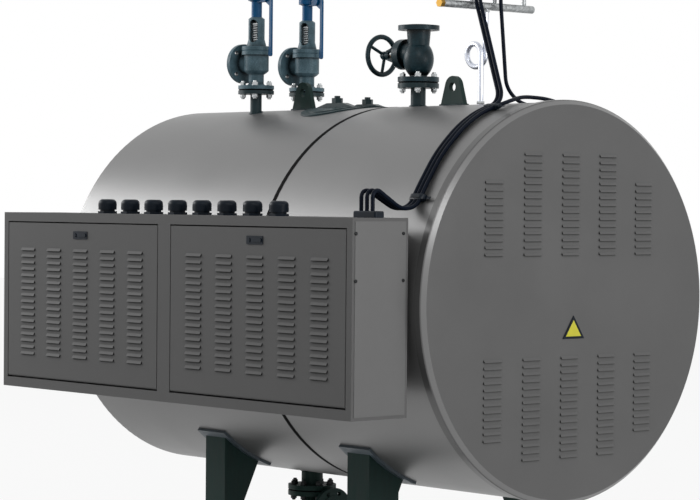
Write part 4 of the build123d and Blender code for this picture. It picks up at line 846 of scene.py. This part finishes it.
def disc(radius, low, high):
    """A round plate with softened edges, lying between two heights."""
    clear()
    bpy.ops.mesh.primitive_cylinder_add(
        vertices=64, radius=radius, depth=high - low, location=(0, 0, (low + high) / 2))
    made = bpy.context.object
    pick(made, lambda centre, normal: normal.z > 0.9)
    bpy.ops.mesh.bevel(offset=(high - low) * 0.3, segments=2)
    settle(made)
    return made


def bar(angle, middle, height, size):
    """A thin bar on the dial, turned to an angle in degrees and pushed out from the middle."""
    clear()
    bpy.ops.mesh.primitive_cube_add(size=1)
    made = bpy.context.object
    made.data.transform(
        Matrix.Rotation(math.radians(angle), 4, "Z") @ Matrix.Translation((middle, 0, height))
        @ Matrix.Diagonal((*size, 1)))
    return made


dial = disc(radius=0.0435, low=0.0002, high=0.0012)
dial.data.transform(face_matrix)
hand_over(dial, "gauge_dial", dial_white)
marks = []
for index in range(mark_steps + 1):
    length, width = (0.0075, 0.0011) if index % 5 == 0 else (0.004, 0.0006)
    marks.append(bar(
        zero_angle - index * mark_sweep / mark_steps, mark_reach - length / 2, 0.0014,
        (length, width, 0.0004)))
hub = disc(radius=0.004, low=0.0018, high=0.0032)
needle = bar(zero_angle, middle=0.013, height=0.0024, size=(0.042, 0.0018, 0.0006))
scale = fuse(marks + [hub, needle])
scale.data.transform(face_matrix)
hand_over(scale, "gauge_scale", black_nylon)
glass = disc(radius=0.0438, low=0.0038, high=0.0052)
glass.data.transform(face_matrix)
hand_over(glass, "gauge_glass", gauge_glass)

# %% [markdown]
# ## Switch covers
# Each pressure controller has a screwed cover on the side that faces the louvred end.

# %% Model the covers
lid_x = 0.661
lid_height = 2.306
lid_size = (0.004, 0.044, 0.084)
lid_front = lid_x + lid_size[0] / 2 - 0.0001
covers = []
for switch_y in (near_switch_y, far_switch_y):
    clear()
    bpy.ops.mesh.primitive_cube_add(size=1)
    lid = bpy.context.object
    lid.data.transform(
        Matrix.Translation((lid_x, switch_y, lid_height)) @ Matrix.Diagonal((*lid_size, 1)))
    pick(lid, lambda centre, normal: normal.x > 0.9)
    bpy.ops.mesh.bevel(offset=0.0014, segments=2)
    pick(lid, lambda centre, normal: normal.x > 0.9 and centre.x > lid_front)
    bpy.ops.mesh.inset(thickness=0.006, depth=-0.0008)
    settle(lid)
    covers.append(lid)
hand_over(fuse(covers), "switch_covers", black_nylon)

# %% [markdown]
# ## Floor, backdrop and light
# The boiler stands on a pale studio floor before a white backdrop. Floor and backdrop are white to the
# camera and in mirrors, and the floor keeps the boiler's shadow. One large soft lamp gives the jacket
# its bright band on the cabinet's side, two more light the front cover, and a weak world light fills
# the rest.

# %% Build the stage
def shown_as_backdrop(tree):
    """1 for what the camera sees straight, in a mirror or through glass, and 0 for stray light."""
    ray = add(tree, "LightPath")
    mirrored = add(tree, "Math", {
        0: ray.outputs["Is Camera Ray"], 1: ray.outputs["Is Glossy Ray"]}, operation="MAXIMUM")
    through = add(tree, "Math", {
        0: mirrored.outputs["Value"], 1: ray.outputs["Is Transmission Ray"]}, operation="MAXIMUM")
    return through.outputs["Value"]


floor_size = 60
floor_whiteness = 0.92
fill_strength = 0.2
white_light = (1, 1, 1, 1)
clear()
bpy.ops.mesh.primitive_plane_add(size=floor_size, location=(0, 0, 0))
floor = bpy.context.object
floor.name = "studio_floor"
floor_paint, tree, shader, _ = blank("studio_floor_white")
shader.inputs["Base Color"].default_value = paint("#b8b8b8")
shader.inputs["Roughness"].default_value = 0.9
glow = add(tree, "Emission", {"Color": white_light, "Strength": 1.0})
seen = add(tree, "Math", {0: shown_as_backdrop(tree), 1: floor_whiteness}, operation="MULTIPLY")
mixed = add(tree, "MixShader", {0: seen.outputs["Value"], 1: shader.outputs[0], 2: glow.outputs[0]})
tree.links.new(mixed.outputs[0], tree.nodes["Material Output"].inputs["Surface"])
floor.data.materials.append(floor_paint)

world = bpy.data.worlds.new("studio_white")
bpy.context.scene.world = world
world.use_nodes = True
tree = world.node_tree
dim = tree.nodes["Background"]
dim.inputs["Color"].default_value = white_light
dim.inputs["Strength"].default_value = fill_strength
white = add(tree, "Background", {"Color": white_light, "Strength": 1.0})
mixed = add(tree, "MixShader", {
    0: shown_as_backdrop(tree), 1: dim.outputs[0], 2: white.outputs[0]})
tree.links.new(mixed.outputs[0], tree.nodes["World Output"].inputs["Surface"])


def softbox(name, place, aim, width, height, watts):
    """A rectangular studio lamp that points at a spot."""
    lamp = bpy.data.lights.new(name, "AREA")
    lamp.shape = "RECTANGLE"
    lamp.size = width
    lamp.size_y = height
    lamp.energy = watts
    made = bpy.data.objects.new(name, lamp)
    bpy.context.scene.collection.objects.link(made)
    made.location = place
    made.rotation_euler = (Vector(aim) - Vector(place)).to_track_quat("-Z", "Y").to_euler()


softbox("side_softbox", place=(-7.0, -3.8, 4.0), aim=(0, 0, 1.2), width=5.0, height=3.0, watts=320)
softbox("front_softbox", place=(5.1, -3.9, 5.0), aim=(0.9, -0.2, 1.2), width=1.8, height=1.8, watts=65)
softbox("end_softbox", place=(8.0, 1.0, 2.2), aim=(0.8, 0, 1.1), width=3.5, height=3.0, watts=200)
bpy.context.scene.view_settings.view_transform = "Standard"
print("stage and lamps are set")
